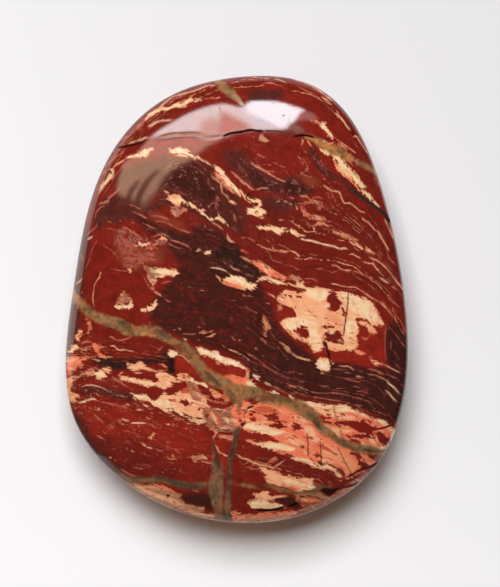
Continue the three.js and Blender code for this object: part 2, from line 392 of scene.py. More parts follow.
rightBandMarks = [
    ("peach", 1.6, [(350, 242), (355, 244), (360, 247), (364, 249), (370, 251), (374, 254)]),
    ("peach", 1.1, [(368, 257), (373, 259), (378, 261), (387, 269), (394, 278), (404, 291)]),
    ("peach", 1.0, [(330, 265), (337, 266), (341, 269), (345, 270), (352, 270)]),
    ("rose", 1.1, [(352, 270), (362, 274), (371, 278), (374, 281)]),
    ("cream", 1.3, [(378, 277), (382, 279), (389, 284)]),
    ("peach", 0.9, [(391, 286), (397, 290)]),
    ("peach", 0.9, [(330, 283), (334, 284), (347, 287), (354, 287), (360, 290), (370, 297), (376, 300),
        (387, 309), (398, 323)]),
    ("rose", 0.9, [(385, 295), (395, 303), (401, 309)]),
    ("rose", 1.0, [(387, 252), (389, 258), (396, 265)]),
    ("rose", 0.8, [(380, 300), (391, 310), (401, 322), (406, 334)]),
    ("salmon", 0, [(252, 262), (258, 261), (266, 265), (275, 271), (283, 276), (290, 280), (281, 280),
        (270, 276), (262, 271)]),
    ("tan", 1.4, [(240, 256), (247, 259), (257, 265), (264, 264), (272, 271), (281, 275), (288, 278)]),
    ("coral", 1.1, [(238, 251), (244, 251), (250, 255)]),
    ("cream", 1.0, [(241, 256), (247, 260), (252, 263)]),
    ("lilac", 1.0, [(235, 268), (241, 271)]),
    ("lilac", 0.9, [(243, 273), (249, 275), (255, 277)]),
    ("peach", 1.0, [(222, 262), (227, 264), (233, 269), (241, 271)]),
    ("cream", 1.3, [(209, 267), (215, 268), (221, 269), (225, 271), (229, 274)]),
    ("peach", 1.2, [(214, 273), (218, 277), (222, 283)]),
    ("salmon", 0, [(222, 283), (229, 278), (240, 281), (248, 286), (256, 289), (246, 290), (236, 288)]),
    ("cream", 0, [(224, 280), (228, 277), (236, 275), (243, 278), (250, 282), (256, 285), (253, 289),
        (247, 289), (240, 285), (232, 283)]),
    ("milk", 1.6, [(234, 278), (242, 281), (250, 286)]),
    ("cream", 1.9, [(257, 281), (262, 279), (267, 278), (272, 280), (278, 283), (286, 284)]),
    ("tan", 1.9, [(286, 273), (292, 276), (298, 279), (303, 282)]),
    ("cream", 2.0, [(290, 283), (297, 285), (304, 287), (307, 291)]),
    ("rose", 1.0, [(304, 279), (312, 279), (319, 282)]),
]

bigPatchMarks = [
    ("peach", 0, [(279, 296), (283, 292), (290, 290), (300, 293), (306, 290), (308, 287), (328, 289),
        (333, 291), (345, 291), (352, 294), (363, 297), (370, 301), (376, 308), (380, 316), (384, 325),
        (378, 326), (371, 324), (366, 320), (357, 320), (360, 330), (357, 338), (356, 349), (330, 350),
        (326, 342), (323, 336), (322, 350), (314, 352), (309, 344), (304, 341), (292, 337), (285, 330),
        (280, 323), (285, 318), (295, 316), (292, 308), (284, 306), (278, 301)]),
    ("rose", 2.2, [(279, 306), (282, 311)]),
    ("apricot", 2.6, [(305, 321), (312, 326), (319, 325)]),
    ("apricot", 1.8, [(312, 331), (319, 333)]),
    ("apricot", 0, [(324, 314), (336, 316), (345, 324), (342, 332), (334, 322)]),
    ("cream", 0, [(306, 290), (312, 288), (326, 290), (326, 298), (320, 301), (312, 298), (306, 294)]),
    ("cream", 0, [(338, 292), (346, 292), (356, 296), (366, 300), (373, 306), (377, 315), (380, 321),
        (374, 321), (364, 318), (354, 312), (348, 306), (344, 298)]),
    ("cream", 0, [(289, 319), (296, 317), (306, 320), (316, 324), (318, 335), (322, 345), (316, 352),
        (311, 346), (309, 338), (309, 327), (298, 328), (290, 330), (284, 326)]),
    ("cream", 0, [(347, 322), (355, 322), (358, 330), (352, 336), (347, 334)]),
    ("cream", 0, [(317, 360), (323, 359), (330, 360), (330, 369), (326, 371), (319, 370), (317, 365)]),
    ("milk", 2.4, [(321, 363), (326, 366)]),
    ("peach", 1.1, [(320, 373), (325, 373)]),
    ("peach", 1.1, [(331, 361), (333, 364), (335, 362)]),
    ("salmon", 0, [(355, 349), (360, 351), (366, 354), (361, 356), (357, 353)]),
    ("peach", 0, [(359, 320), (366, 321), (372, 326), (376, 333), (371, 334), (366, 329), (361, 325)]),
    ("peach", 1.2, [(360, 336), (366, 339), (369, 336)]),
    ("rose", 0.8, [(386, 326), (385, 336), (385, 350), (386, 363)]),
]

maroonBandMarks = [
    ("peach", 0.9, [(228, 349), (236, 352), (242, 355), (248, 359), (250, 362)]),
    ("rose", 0.9, [(246, 354), (252, 356), (257, 359), (262, 363), (267, 367), (273, 371), (279, 374),
        (285, 377), (293, 379), (300, 381), (305, 382)]),
    ("tan", 0, [(280, 342), (285, 344), (290, 348), (292, 352), (287, 351), (283, 347)]),
    ("peach", 1.1, [(288, 350), (292, 353), (297, 357), (304, 359), (313, 361)]),
    ("lilac", 0.8, [(262, 341), (270, 346), (277, 348), (282, 352), (286, 357), (288, 361)]),
    ("tan", 1.6, [(263, 333), (266, 336)]),
    ("lilac", 1.2, [(258, 337), (266, 342)]),
    ("rose", 0.9, [(270, 334), (275, 337)]),
    ("rose", 1.2, [(254, 347), (258, 350)]),
    ("lilac", 1.1, [(260, 354), (266, 358)]),
    ("rose", 1.2, [(289, 372), (297, 372)]),
    ("lilac", 0.8, [(297, 373), (304, 375)]),
    ("milk", 1.5, [(253, 375), (257, 378), (262, 381)]),
    ("cream", 1.1, [(262, 381), (268, 384), (272, 386)]),
    ("rose", 0.9, [(272, 386), (279, 389), (284, 392), (289, 394), (296, 393), (303, 395), (312, 397),
        (321, 398), (331, 400), (342, 401)]),
    ("peach", 1.0, [(287, 385), (293, 386), (299, 387), (304, 389), (310, 391)]),
    ("rose", 0.8, [(309, 391), (317, 393), (326, 393), (335, 393), (342, 394), (350, 396), (357, 398),
        (364, 400), (373, 403)]),
    ("coral", 0.9, [(279, 382), (284, 383)]),
    ("milk", 1.5, [(268, 391), (273, 392), (279, 394)]),
    ("lilac", 0.8, [(331, 369), (338, 369), (345, 372), (353, 374)]),
    ("peach", 0.9, [(336, 366), (344, 366), (350, 367), (354, 371)]),
    ("rose", 0.9, [(343, 378), (347, 379), (353, 381), (361, 382)]),
    ("peach", 1.0, [(354, 375), (360, 377), (364, 378)]),
    ("rose", 0.9, [(366, 369), (375, 370), (381, 373), (388, 375), (395, 378), (401, 382)]),
    ("peach", 0.9, [(368, 374), (375, 375), (382, 378), (391, 382)]),
    ("cream", 1.4, [(386, 382), (391, 385), (396, 389), (401, 395)]),
    ("cream", 1.3, [(384, 389), (389, 393), (393, 398), (398, 403)]),
    ("lilac", 0.8, [(368, 379), (377, 380)]),
    ("lilac", 0.8, [(351, 386), (361, 388)]),
    ("lilac", 0.8, [(335, 388), (345, 389)]),
    ("lilac", 0.8, [(321, 386), (331, 387)]),
    ("rose", 0.8, [(356, 391), (364, 392), (370, 395)]),
    ("lilac", 0.8, [(345, 403), (355, 405), (363, 406)]),
    ("rose", 0.8, [(372, 410), (381, 413), (390, 417)]),
    ("peach", 0, [(369, 357), (372, 359), (377, 361), (382, 364), (376, 365), (373, 362)]),
    ("peach", 1.1, [(381, 364), (387, 366), (392, 369), (401, 373)]),
    ("rose", 0.8, [(388, 326), (394, 332), (400, 340), (406, 349)]),
    ("rose", 0.8, [(399, 327), (405, 336)]),
    ("lilac", 0.9, [(391, 340), (391, 350)]),
    ("lilac", 0.8, [(393, 350), (397, 356), (401, 362)]),
    ("rose", 0.8, [(395, 363), (401, 370)]),
    ("peach", 1.3, [(183, 338), (187, 341)]),
    ("milk", 1.4, [(184, 338), (187, 341)]),
    ("tan", 1.7, [(200, 332), (206, 333)]),
    ("peach", 1.3, [(206, 337), (211, 336), (216, 333)]),
    ("rose", 1.1, [(208, 332), (214, 331)]),
    ("peach", 1.1, [(177, 327), (182, 330)]),
    ("rose", 1.0, [(172, 330), (176, 330)]),
    ("lilac", 0.9, [(180, 334), (191, 334), (197, 334)]),
    ("lilac", 0.9, [(196, 341), (201, 339)]),
    ("peach", 1.0, [(232, 339), (236, 341)]),
    ("peach", 0.9, [(239, 340), (243, 340)]),
    ("rose", 0.9, [(231, 336), (234, 338)]),
    ("rose", 0.9, [(221, 344), (225, 347)]),
    ("tan", 0, [(262, 316), (265, 318), (270, 326), (269, 331), (264, 327)]),
    ("rose", 1.1, [(267, 292), (271, 296)]),
    ("rose", 1.0, [(264, 303), (270, 303)]),
    ("lilac", 0.9, [(252, 320), (257, 328)]),
    ("rose", 0.9, [(244, 305), (250, 310), (259, 314)]),
    ("rose", 0.9, [(240, 295), (247, 296), (254, 297)]),
    ("coral", 1.2, [(266, 302), (271, 305)]),
    ("peach", 1.1, [(271, 294), (275, 298)]),
    ("rose", 0.9, [(201, 321), (206, 326)]),
    ("rose", 0.9, [(197, 325), (201, 329)]),
    ("lilac", 0.9, [(187, 286), (192, 288)]),
    ("lilac", 0.9, [(199, 290), (205, 291)]),
    ("lilac", 0.9, [(232, 300), (238, 301)]),
    ("rose", 0.9, [(228, 317), (233, 320)]),
    ("lilac", 0.9, [(253, 333), (259, 334)]),
]

middleLeftMarks = [
    ("rose", 0.7, [(97, 240), (92, 250), (90, 258), (85, 270)]),
    ("peach", 0.8, [(101, 270), (100, 276), (95, 284), (93, 297), (94, 307)]),
    ("rose", 0.8, [(108, 268), (117, 270), (124, 271), (130, 271)]),
    ("peach", 1.5, [(128, 270), (131, 272)]),
    ("rose", 0.7, [(102, 243), (106, 247), (111, 250), (116, 255), (120, 260)]),
    ("rose", 1.0, [(128, 204), (134, 206), (141, 209)]),
    ("coral", 1.2, [(123, 261), (127, 263)]),
    ("rose", 0.9, [(80, 253), (82, 257), (82, 262)]),
    ("peach", 1.0, [(75, 285), (80, 281), (83, 277)]),
    ("rose", 0.9, [(80, 294), (84, 291)]),
    ("peach", 1.0, [(77, 309), (79, 305)]),
    ("rose", 0.9, [(73, 301), (74, 306)]),
    ("rose", 0.9, [(130, 211), (136, 213), (140, 215), (148, 219)]),
    ("rose", 0.9, [(140, 222), (147, 225), (156, 229)]),
    ("rose", 1.1, [(121, 227), (130, 230), (136, 234), (142, 238)]),
    ("peach", 0.8, [(129, 231), (135, 234), (141, 237)]),
    ("rose", 0.9, [(106, 228), (112, 229), (118, 231)]),
    ("coral", 1.4, [(107, 221), (113, 223)]),
    ("rose", 1.3, [(119, 221), (122, 221)]),
    ("coral", 1.2, [(131, 222), (135, 224)]),
    ("rose", 0.9, [(168, 243), (175, 247), (182, 249)]),
    ("rose", 1.0, [(170, 240), (178, 242), (186, 245), (192, 250)]),
    ("peach", 1.5, [(158, 240), (163, 238), (168, 240)]),
    ("rose", 1.4, [(150, 238), (158, 235), (166, 234)]),
    ("coral", 1.2, [(150, 253), (155, 255)]),
    ("coral", 1.2, [(147, 258), (152, 259), (158, 261)]),
    ("cream", 1.7, [(196, 251), (200, 250)]),
    ("cream", 1.9, [(206, 253), (211, 251)]),
    ("milk", 1.5, [(139, 243), (144, 245), (149, 243)]),
    ("peach", 1.2, [(133, 245), (139, 246)]),
    ("peach", 1.2, [(152, 245), (158, 244)]),
    ("clay", 0, [(144, 266), (152, 267), (161, 268), (160, 274), (156, 282), (153, 289), (149, 281),
        (146, 273)]),
    ("cream", 0, [(156, 270), (163, 268), (170, 269), (177, 270), (178, 273), (175, 277), (167, 276),
        (156, 278)]),
    ("tan", 2.2, [(150, 271), (156, 274), (161, 275)]),
    ("rose", 0.9, [(141, 272), (145, 279), (149, 286), (153, 291)]),
    ("clay", 0, [(121, 294), (125, 292), (131, 299), (132, 303), (124, 304), (118, 303)]),
    ("cream", 0, [(115, 306), (121, 305), (127, 304), (131, 301), (134, 304), (131, 308), (125, 309),
        (119, 309)]),
    ("cream", 0, [(141, 311), (145, 307), (150, 306), (155, 303), (156, 307), (152, 311), (146, 312)]),
    ("rose", 0.9, [(150, 314), (154, 313)]),
    ("cream", 1.2, [(155, 306), (155, 302), (158, 298)]),
    ("peach", 1.1, [(153, 290), (158, 294), (163, 297)]),
    ("rose", 1.0, [(163, 297), (168, 301), (172, 303)]),
    ("rose", 1.2, [(148, 322), (151, 324)]),
    ("rose", 1.0, [(160, 284), (166, 282), (172, 281)]),
    ("coral", 1.6, [(146, 248), (151, 248), (156, 249)]),
]

lowerLeftMarks = [
    ("rose", 1.7, [(87, 319), (90, 326), (88, 333)]),
    ("peach", 0, [(79, 329), (82, 331), (81, 336), (79, 342), (77, 341), (76, 336), (77, 332)]),
    ("cream", 0, [(75, 345), (78, 347), (74, 351), (71, 353), (69, 352), (71, 348)]),
    ("rose", 1.3, [(80, 346), (83, 343), (86, 341), (90, 342), (95, 343)]),
    ("salmon", 0, [(91, 343), (96, 343), (98, 348), (100, 352), (104, 355), (106, 359), (101, 357),
        (97, 354), (94, 350), (93, 346)]),
    ("salmon", 2.2, [(98, 346), (103, 347)]),
    ("cream", 1.0, [(104, 357), (113, 357)]),
    ("rose", 0.9, [(88, 353), (92, 355)]),
    ("peach", 0.9, [(90, 357), (96, 360), (101, 361)]),
    ("rose", 1.0, [(107, 337), (112, 337), (116, 340), (122, 340), (128, 338), (133, 336)]),
    ("peach", 1.0, [(109, 346), (114, 346), (117, 349), (120, 350), (126, 350), (131, 351), (135, 352)]),
    ("rose", 1.0, [(157, 353), (160, 349), (165, 345)]),
    ("rose", 1.0, [(168, 350), (172, 348)]),
    ("coral", 1.6, [(159, 364), (163, 364), (167, 369)]),
    ("salmon", 0, [(66, 358), (71, 357), (75, 355), (80, 358), (84, 357), (89, 357), (87, 360), (82, 362),
        (83, 365), (78, 366), (76, 371), (72, 371), (68, 377), (66, 370)]),
    ("peach", 2.0, [(67, 361), (72, 360), (77, 359)]),
    ("peach", 1.1, [(66, 378), (73, 377), (79, 377), (82, 374), (87, 375)]),
    ("rose", 0, [(86, 370), (93, 369), (95, 373), (90, 376), (85, 375)]),
    ("cream", 0, [(94, 373), (97, 371), (103, 371), (107, 375), (103, 378), (97, 379), (95, 376)]),
    ("peach", 0, [(103, 368), (108, 367), (112, 371), (107, 373), (104, 372)]),
    ("peach", 0, [(65, 378), (72, 378), (77, 379), (74, 381), (71, 385), (71, 389), (74, 392), (78, 394),
        (81, 397), (76, 398), (75, 401), (70, 401), (66, 395), (64, 386)]),
    ("peach", 1.9, [(66, 385), (67, 391), (70, 396)]),
    ("cream", 0.8, [(80, 388), (84, 386), (90, 385), (96, 386), (102, 388), (108, 391), (114, 393)]),
    ("rose", 1.1, [(110, 375), (114, 378), (118, 381), (122, 383), (126, 386), (130, 388), (134, 391)]),
    ("peach", 1.1, [(118, 376), (121, 373), (125, 371)]),
    ("cream", 1.3, [(77, 403), (83, 402), (88, 400), (93, 399), (99, 401)]),
    ("rose", 1.3, [(99, 401), (106, 403), (113, 404), (120, 406), (129, 408)]),
    ("peach", 1.2, [(135, 410), (144, 410)]),
    ("cream", 1.2, [(142, 404), (147, 406), (151, 406)]),
    ("peach", 0, [(127, 363), (131, 365), (135, 364), (141, 362), (146, 366), (151, 370), (146, 371),
        (139, 370), (132, 371), (128, 368)]),
    ("cream", 1.1, [(128, 364), (134, 365), (141, 364), (147, 368)]),
    ("peach", 1.3, [(133, 372), (139, 373), (144, 372)]),
    ("peach", 1.4, [(146, 366), (150, 369), (156, 371), (166, 371)]),
    ("peach", 0, [(157, 372), (168, 373), (173, 376), (178, 380), (183, 381), (176, 383), (171, 382),
        (173, 387), (165, 387), (160, 383), (157, 378)]),
    ("peach", 0, [(176, 376), (181, 373), (186, 374), (187, 377), (182, 380), (178, 379)]),
    ("cream", 1.0, [(182, 376), (188, 376)]),
    ("peach", 0, [(119, 376), (132, 378), (145, 380), (160, 382), (167, 384), (166, 390), (157, 386),
        (146, 387), (134, 383), (122, 380)]),
    ("cream", 1.6, [(121, 378), (132, 380), (145, 383), (158, 384)]),
    ("cream", 0, [(133, 395), (140, 394), (147, 394), (151, 398), (151, 402), (144, 401), (139, 400),
        (135, 398)]),
    ("peach", 1.1, [(129, 393), (135, 394)]),
    ("peach", 0, [(150, 402), (156, 397), (163, 392), (172, 391), (180, 390), (190, 391), (200, 394),
        (207, 400), (210, 409), (209, 420), (203, 421), (196, 420), (190, 417), (183, 414), (176, 410),
        (170, 409), (160, 409), (152, 405)]),
    ("cream", 0, [(150, 402), (156, 400), (163, 399), (170, 401), (177, 404), (172, 408), (165, 408),
        (158, 406), (152, 404)]),
    ("cream", 1.6, [(160, 408), (167, 410), (175, 410), (182, 415), (188, 417), (193, 420), (199, 422),
        (209, 420)]),
    ("cream", 1.5, [(186, 381), (191, 380), (197, 383), (203, 384), (207, 387), (212, 390)]),
    ("clay", 0, [(187, 383), (193, 382), (197, 386), (200, 392), (201, 400), (195, 400), (190, 394)]),
    ("rose", 1.2, [(192, 385), (196, 391), (197, 397)]),
    ("apricot", 0, [(210, 388), (215, 390), (221, 394), (222, 398), (216, 398), (211, 394)]),
    ("rose", 1.7, [(201, 392), (206, 396), (211, 400)]),
    ("coral", 0, [(222, 393), (226, 390), (231, 392), (232, 399), (227, 401), (222, 398)]),
    ("cream", 0.8, [(224, 391), (229, 392), (231, 396)]),
    ("rose", 1.5, [(214, 401), (220, 403), (226, 404)]),
    ("rose", 1.5, [(223, 409), (231, 408)]),
    ("rose", 1.1, [(212, 401), (220, 404), (225, 404)]),
    ("cream", 1.2, [(202, 404), (208, 406), (214, 408), (222, 410), (230, 411)]),
    ("clay", 0, [(204, 408), (213, 409), (222, 412), (231, 408), (238, 402), (244, 410), (243, 420),
        (240, 430), (232, 433), (222, 432), (213, 431), (207, 424), (203, 416)]),
    ("salmon", 0, [(232, 408), (238, 402), (244, 408), (244, 418), (240, 428), (235, 424), (232, 416)]),
    ("coral", 1.8, [(208, 412), (214, 415), (219, 421), (221, 428)]),
    ("peach", 1.2, [(213, 412), (217, 417), (218, 424)]),
    ("peach", 1.5, [(226, 418), (229, 424)]),
    ("peach", 1.3, [(207, 410), (208, 413)]),
    ("peach", 1.6, [(211, 412), (214, 417), (217, 424)]),
    ("cream", 1.4, [(225, 423), (231, 425)]),
    ("cream", 0, [(168, 354), (170, 351), (174, 350), (179, 352), (176, 355), (172, 357)]),
    ("peach", 1.3, [(171, 366), (175, 369)]),
    ("peach", 1.0, [(176, 355), (180, 355), (184, 357), (187, 360), (192, 364)]),
    ("cream", 0, [(196, 346), (202, 348), (207, 350), (212, 352), (216, 352), (221, 355), (225, 358),
        (230, 359), (236, 361), (241, 364), (246, 367), (248, 370), (244, 369), (235, 367), (228, 366),
        (223, 364), (218, 361), (212, 358), (208, 356), (203, 355), (198, 352)]),
    ("milk", 1.7, [(202, 350), (210, 353), (218, 357), (226, 361), (236, 364)]),
    ("salmon", 1.7, [(247, 369), (248, 374), (246, 380)]),
    ("coral", 1.5, [(217, 363), (221, 365)]),
    ("salmon", 0, [(222, 378), (232, 375), (241, 378), (249, 378), (253, 381), (247, 389), (240, 388),
        (232, 384), (226, 381)]),
    ("cream", 0, [(246, 381), (252, 382), (256, 386), (256, 390), (251, 391), (247, 386)]),
    ("peach", 1.1, [(120, 418), (126, 420), (132, 421)]),
    ("cream", 1.1, [(128, 424), (133, 423), (139, 423), (147, 423)]),
    ("rose", 1.1, [(146, 423), (152, 425), (154, 427), (160, 428)]),
    ("tan", 1.0, [(93, 413), (98, 418), (102, 421), (103, 425)]),
    ("rose", 1.1, [(102, 430), (105, 433), (109, 434)]),
    ("peach", 0.9, [(95, 434), (100, 437), (105, 440)]),
    ("peach", 1.0, [(129, 449), (132, 451), (136, 453)]),
    ("rose", 1.1, [(125, 447), (128, 449)]),
    ("peach", 1.1, [(109, 457), (112, 458)]),
    ("rose", 1.0, [(119, 450), (122, 451)]),
    ("rose", 1.0, [(123, 459), (127, 463)]),
    ("rose", 1.1, [(119, 468), (124, 471), (129, 474), (134, 476), (138, 475)]),
    ("rose", 1.0, [(131, 467), (138, 468), (145, 470)]),
    ("peach", 0, [(148, 437), (151, 434), (155, 432), (154, 437), (151, 440)]),
    ("peach", 1.4, [(140, 442), (144, 445), (147, 448)]),
    ("cream", 1.0, [(145, 447), (150, 448), (154, 448)]),
    ("rose", 1.2, [(155, 448), (160, 451), (166, 450)]),
    ("peach", 1.1, [(165, 457), (170, 459), (177, 459)]),
    ("peach", 1.2, [(171, 454), (175, 458)]),
    ("rose", 1.0, [(174, 450), (182, 454)]),
    ("rose", 1.1, [(170, 462), (174, 464)]),
    ("rose", 1.0, [(165, 442), (171, 443)]),
    ("rose", 1.1, [(177, 430), (180, 433)]),
    ("rose", 1.1, [(173, 418), (179, 420)]),
    ("peach", 1.0, [(186, 423), (191, 424)]),
    ("peach", 1.3, [(166, 424), (170, 425)]),
    ("rose", 1.0, [(194, 428), (201, 431)]),
    ("peach", 1.4, [(204, 426), (209, 426), (213, 429)]),
    ("peach", 1.0, [(195, 421), (200, 421)]),
    ("rose", 1.0, [(192, 445), (198, 448)]),
    ("tan", 0, [(191, 456), (198, 454), (205, 456), (206, 459), (198, 460), (192, 459)]),
    ("peach", 1.1, [(192, 461), (198, 462)]),
    ("peach", 1.2, [(200, 461), (206, 462), (211, 463), (214, 466)]),
    ("rose", 1.1, [(165, 470), (167, 470)]),
    ("rose", 1.1, [(173, 469), (176, 469)]),
    ("rose", 1.1, [(179, 469), (182, 470)]),
    ("rose", 1.0, [(161, 472), (164, 473)]),
    ("rose", 1.0, [(171, 473), (174, 472)]),
    ("rose", 0, [(220, 433), (226, 436), (233, 434), (233, 440), (226, 439), (220, 438)]),
    ("cream", 1.1, [(221, 435), (226, 438), (232, 437)]),
    ("salmon", 1.6, [(213, 436), (216, 433), (219, 436)]),
    ("peach", 1.0, [(212, 440), (216, 434), (219, 431)]),
    ("peach", 1.1, [(214, 443), (217, 448), (219, 452), (223, 454), (227, 456), (230, 457)]),
]

bottomMarks = [
    ("tan", 0, [(125, 480), (135, 482), (146, 485), (153, 484), (160, 488), (168, 489), (175, 492),
        (181, 494), (180, 499), (185, 503), (195, 506), (204, 508), (200, 513), (185, 511), (165, 507),
        (148, 500), (133, 489)]),
    ("peach", 2.2, [(136, 486), (146, 491), (158, 496), (170, 500), (184, 506)]),
    ("salmon", 1.8, [(154, 484), (160, 487), (166, 489), (176, 492)]),
    ("coral", 2.2, [(144, 486), (151, 490)]),
    ("rose", 1.1, [(192, 490), (200, 493)]),
    ("cream", 0, [(287, 395), (291, 396), (295, 399), (299, 401), (304, 402), (309, 402), (315, 402),
        (320, 404), (330, 405), (341, 405), (347, 406), (353, 409), (358, 411), (364, 414), (370, 417),
        (377, 419), (384, 420), (389, 424), (394, 430), (395, 438), (388, 447), (380, 451), (372, 447),
        (360, 445), (348, 444), (336, 442), (334, 434), (325, 429), (313, 421), (308, 412), (303, 406),
        (296, 402)]),
    ("salmon", 0, [(303, 405), (309, 406), (315, 407), (324, 409), (337, 412), (352, 412), (363, 416),
        (378, 422), (389, 430), (391, 437), (386, 444), (378, 447), (362, 443), (348, 441), (339, 439),
        (338, 433), (328, 427), (315, 418), (309, 411)]),
    ("peach", 0, [(312, 408), (322, 409), (332, 412), (346, 415), (356, 417), (350, 419), (338, 418),
        (326, 415), (316, 414)]),
    ("cream", 1.3, [(323, 424), (330, 425), (337, 427), (345, 427), (352, 428), (359, 431)]),
    ("peach", 1.6, [(333, 428), (342, 431), (352, 431)]),
    ("peach", 0, [(359, 434), (366, 433), (371, 435), (376, 438), (379, 441), (374, 444), (370, 440),
        (365, 437)]),
    ("rust", 1.4, [(358, 414), (368, 419), (376, 423)]),
    ("coral", 2.0, [(310, 408), (314, 411)]),
    ("salmon", 0, [(238, 402), (248, 401), (252, 404), (246, 409), (243, 414)]),
    ("rose", 0.9, [(245, 407), (249, 403), (253, 402), (256, 404)]),
    ("salmon", 0, [(246, 412), (255, 404), (268, 400), (281, 402), (293, 404), (303, 410), (310, 418),
        (318, 426), (328, 434), (338, 441), (350, 447), (360, 455), (366, 463), (366, 470), (353, 477),
        (346, 479), (341, 470), (333, 466), (322, 462), (312, 463), (304, 463), (299, 460), (292, 456),
        (280, 453), (266, 446), (256, 443), (248, 443), (243, 436), (243, 427), (244, 420)]),
    ("apricot", 0, [(322, 446), (328, 444), (338, 450), (348, 457), (357, 466), (350, 473), (341, 465),
        (330, 459), (322, 456)]),
    ("peach", 0, [(304, 428), (310, 428), (316, 434), (312, 437), (306, 434)]),
    ("coral", 0, [(254, 409), (262, 406), (272, 407), (277, 411), (268, 413), (257, 413)]),
    ("cream", 0, [(243, 427), (247, 424), (251, 423), (256, 424), (262, 426), (268, 428), (274, 430),
        (284, 432), (278, 435), (270, 435), (258, 432), (249, 429)]),
    ("cream", 0, [(246, 441), (254, 443), (262, 443), (268, 442), (275, 443), (282, 444), (288, 446),
        (294, 448), (295, 450), (288, 451), (277, 449), (268, 449), (261, 447), (252, 444)]),
    ("peach", 1.5, [(285, 436), (296, 440), (306, 444)]),
    ("peach", 1.4, [(316, 446), (328, 452), (338, 459)]),
    ("peach", 1.1, [(242, 446), (246, 449)]),
    ("rose", 1.6, [(270, 462), (275, 459), (279, 462)]),
    ("peach", 1.2, [(235, 454), (238, 455), (241, 458), (246, 459), (250, 461), (255, 463), (260, 465),
        (267, 466), (272, 468), (276, 470)]),
    ("rose", 1.0, [(247, 468), (255, 469), (262, 468)]),
    ("peach", 1.2, [(274, 467), (279, 464), (285, 460)]),
    ("cream", 1.7, [(291, 458), (297, 459), (303, 460), (308, 461), (313, 465), (320, 467), (328, 467),
        (333, 470), (337, 473), (340, 477), (341, 482)]),
    ("peach", 1.2, [(325, 463), (332, 464), (338, 467)]),
    ("peach", 0, [(261, 467), (268, 470), (275, 471), (281, 473), (287, 475), (293, 476), (299, 478),
        (306, 478), (313, 479), (313, 485), (316, 489), (308, 491), (300, 493), (293, 491), (286, 488),
        (278, 486), (270, 484), (267, 480), (266, 476), (263, 473)]),
    ("peach", 0, [(262, 468), (269, 470), (277, 472), (280, 478), (276, 484), (269, 481), (265, 475)]),
    ("cream", 1.6, [(284, 480), (294, 482), (305, 485)]),
    ("clay", 1.1, [(281, 476), (290, 479), (300, 481), (309, 483)]),
    ("coral", 2.0, [(285, 487), (293, 489), (300, 489)]),
    ("cream", 0, [(308, 486), (313, 484), (317, 488), (311, 490)]),
    ("salmon", 0, [(361, 451), (367, 455), (371, 459), (376, 462), (371, 466), (366, 462), (361, 457)]),
    ("cream", 1.1, [(345, 492), (352, 488), (360, 483), (367, 477), (374, 470), (380, 463)]),
    ("rose", 1.2, [(344, 486), (352, 482), (358, 478)]),
    ("peach", 0, [(253, 492), (258, 493), (264, 491), (270, 492), (276, 495), (284, 496), (290, 498),
        (282, 499), (272, 500), (262, 500), (257, 499), (255, 495)]),
    ("cream", 0, [(249, 502), (255, 500), (262, 500), (270, 501), (277, 503), (283, 505), (286, 507),
        (280, 509), (270, 510), (262, 510), (254, 509), (250, 506)]),
    ("rust", 0, [(294, 500), (303, 497), (312, 495), (321, 496), (327, 498), (325, 503), (319, 506),
        (309, 506), (300, 506)]),
    ("salmon", 1.8, [(301, 501), (311, 500), (320, 501)]),
    ("salmon", 0, [(230, 511), (240, 512), (250, 514), (262, 513), (275, 512), (288, 511), (298, 512),
        (286, 519), (270, 522), (250, 523), (236, 522)]),
    ("tan", 1.8, [(240, 519), (256, 520), (274, 518), (288, 515)]),
    ("clay", 2.4, [(140, 503), (160, 511), (184, 517), (206, 520), (228, 521)]),
    ("peach", 1.8, [(186, 511), (204, 515), (222, 517)]),
    ("clay", 2.4, [(300, 511), (320, 504), (336, 496), (352, 486), (366, 474)]),
]

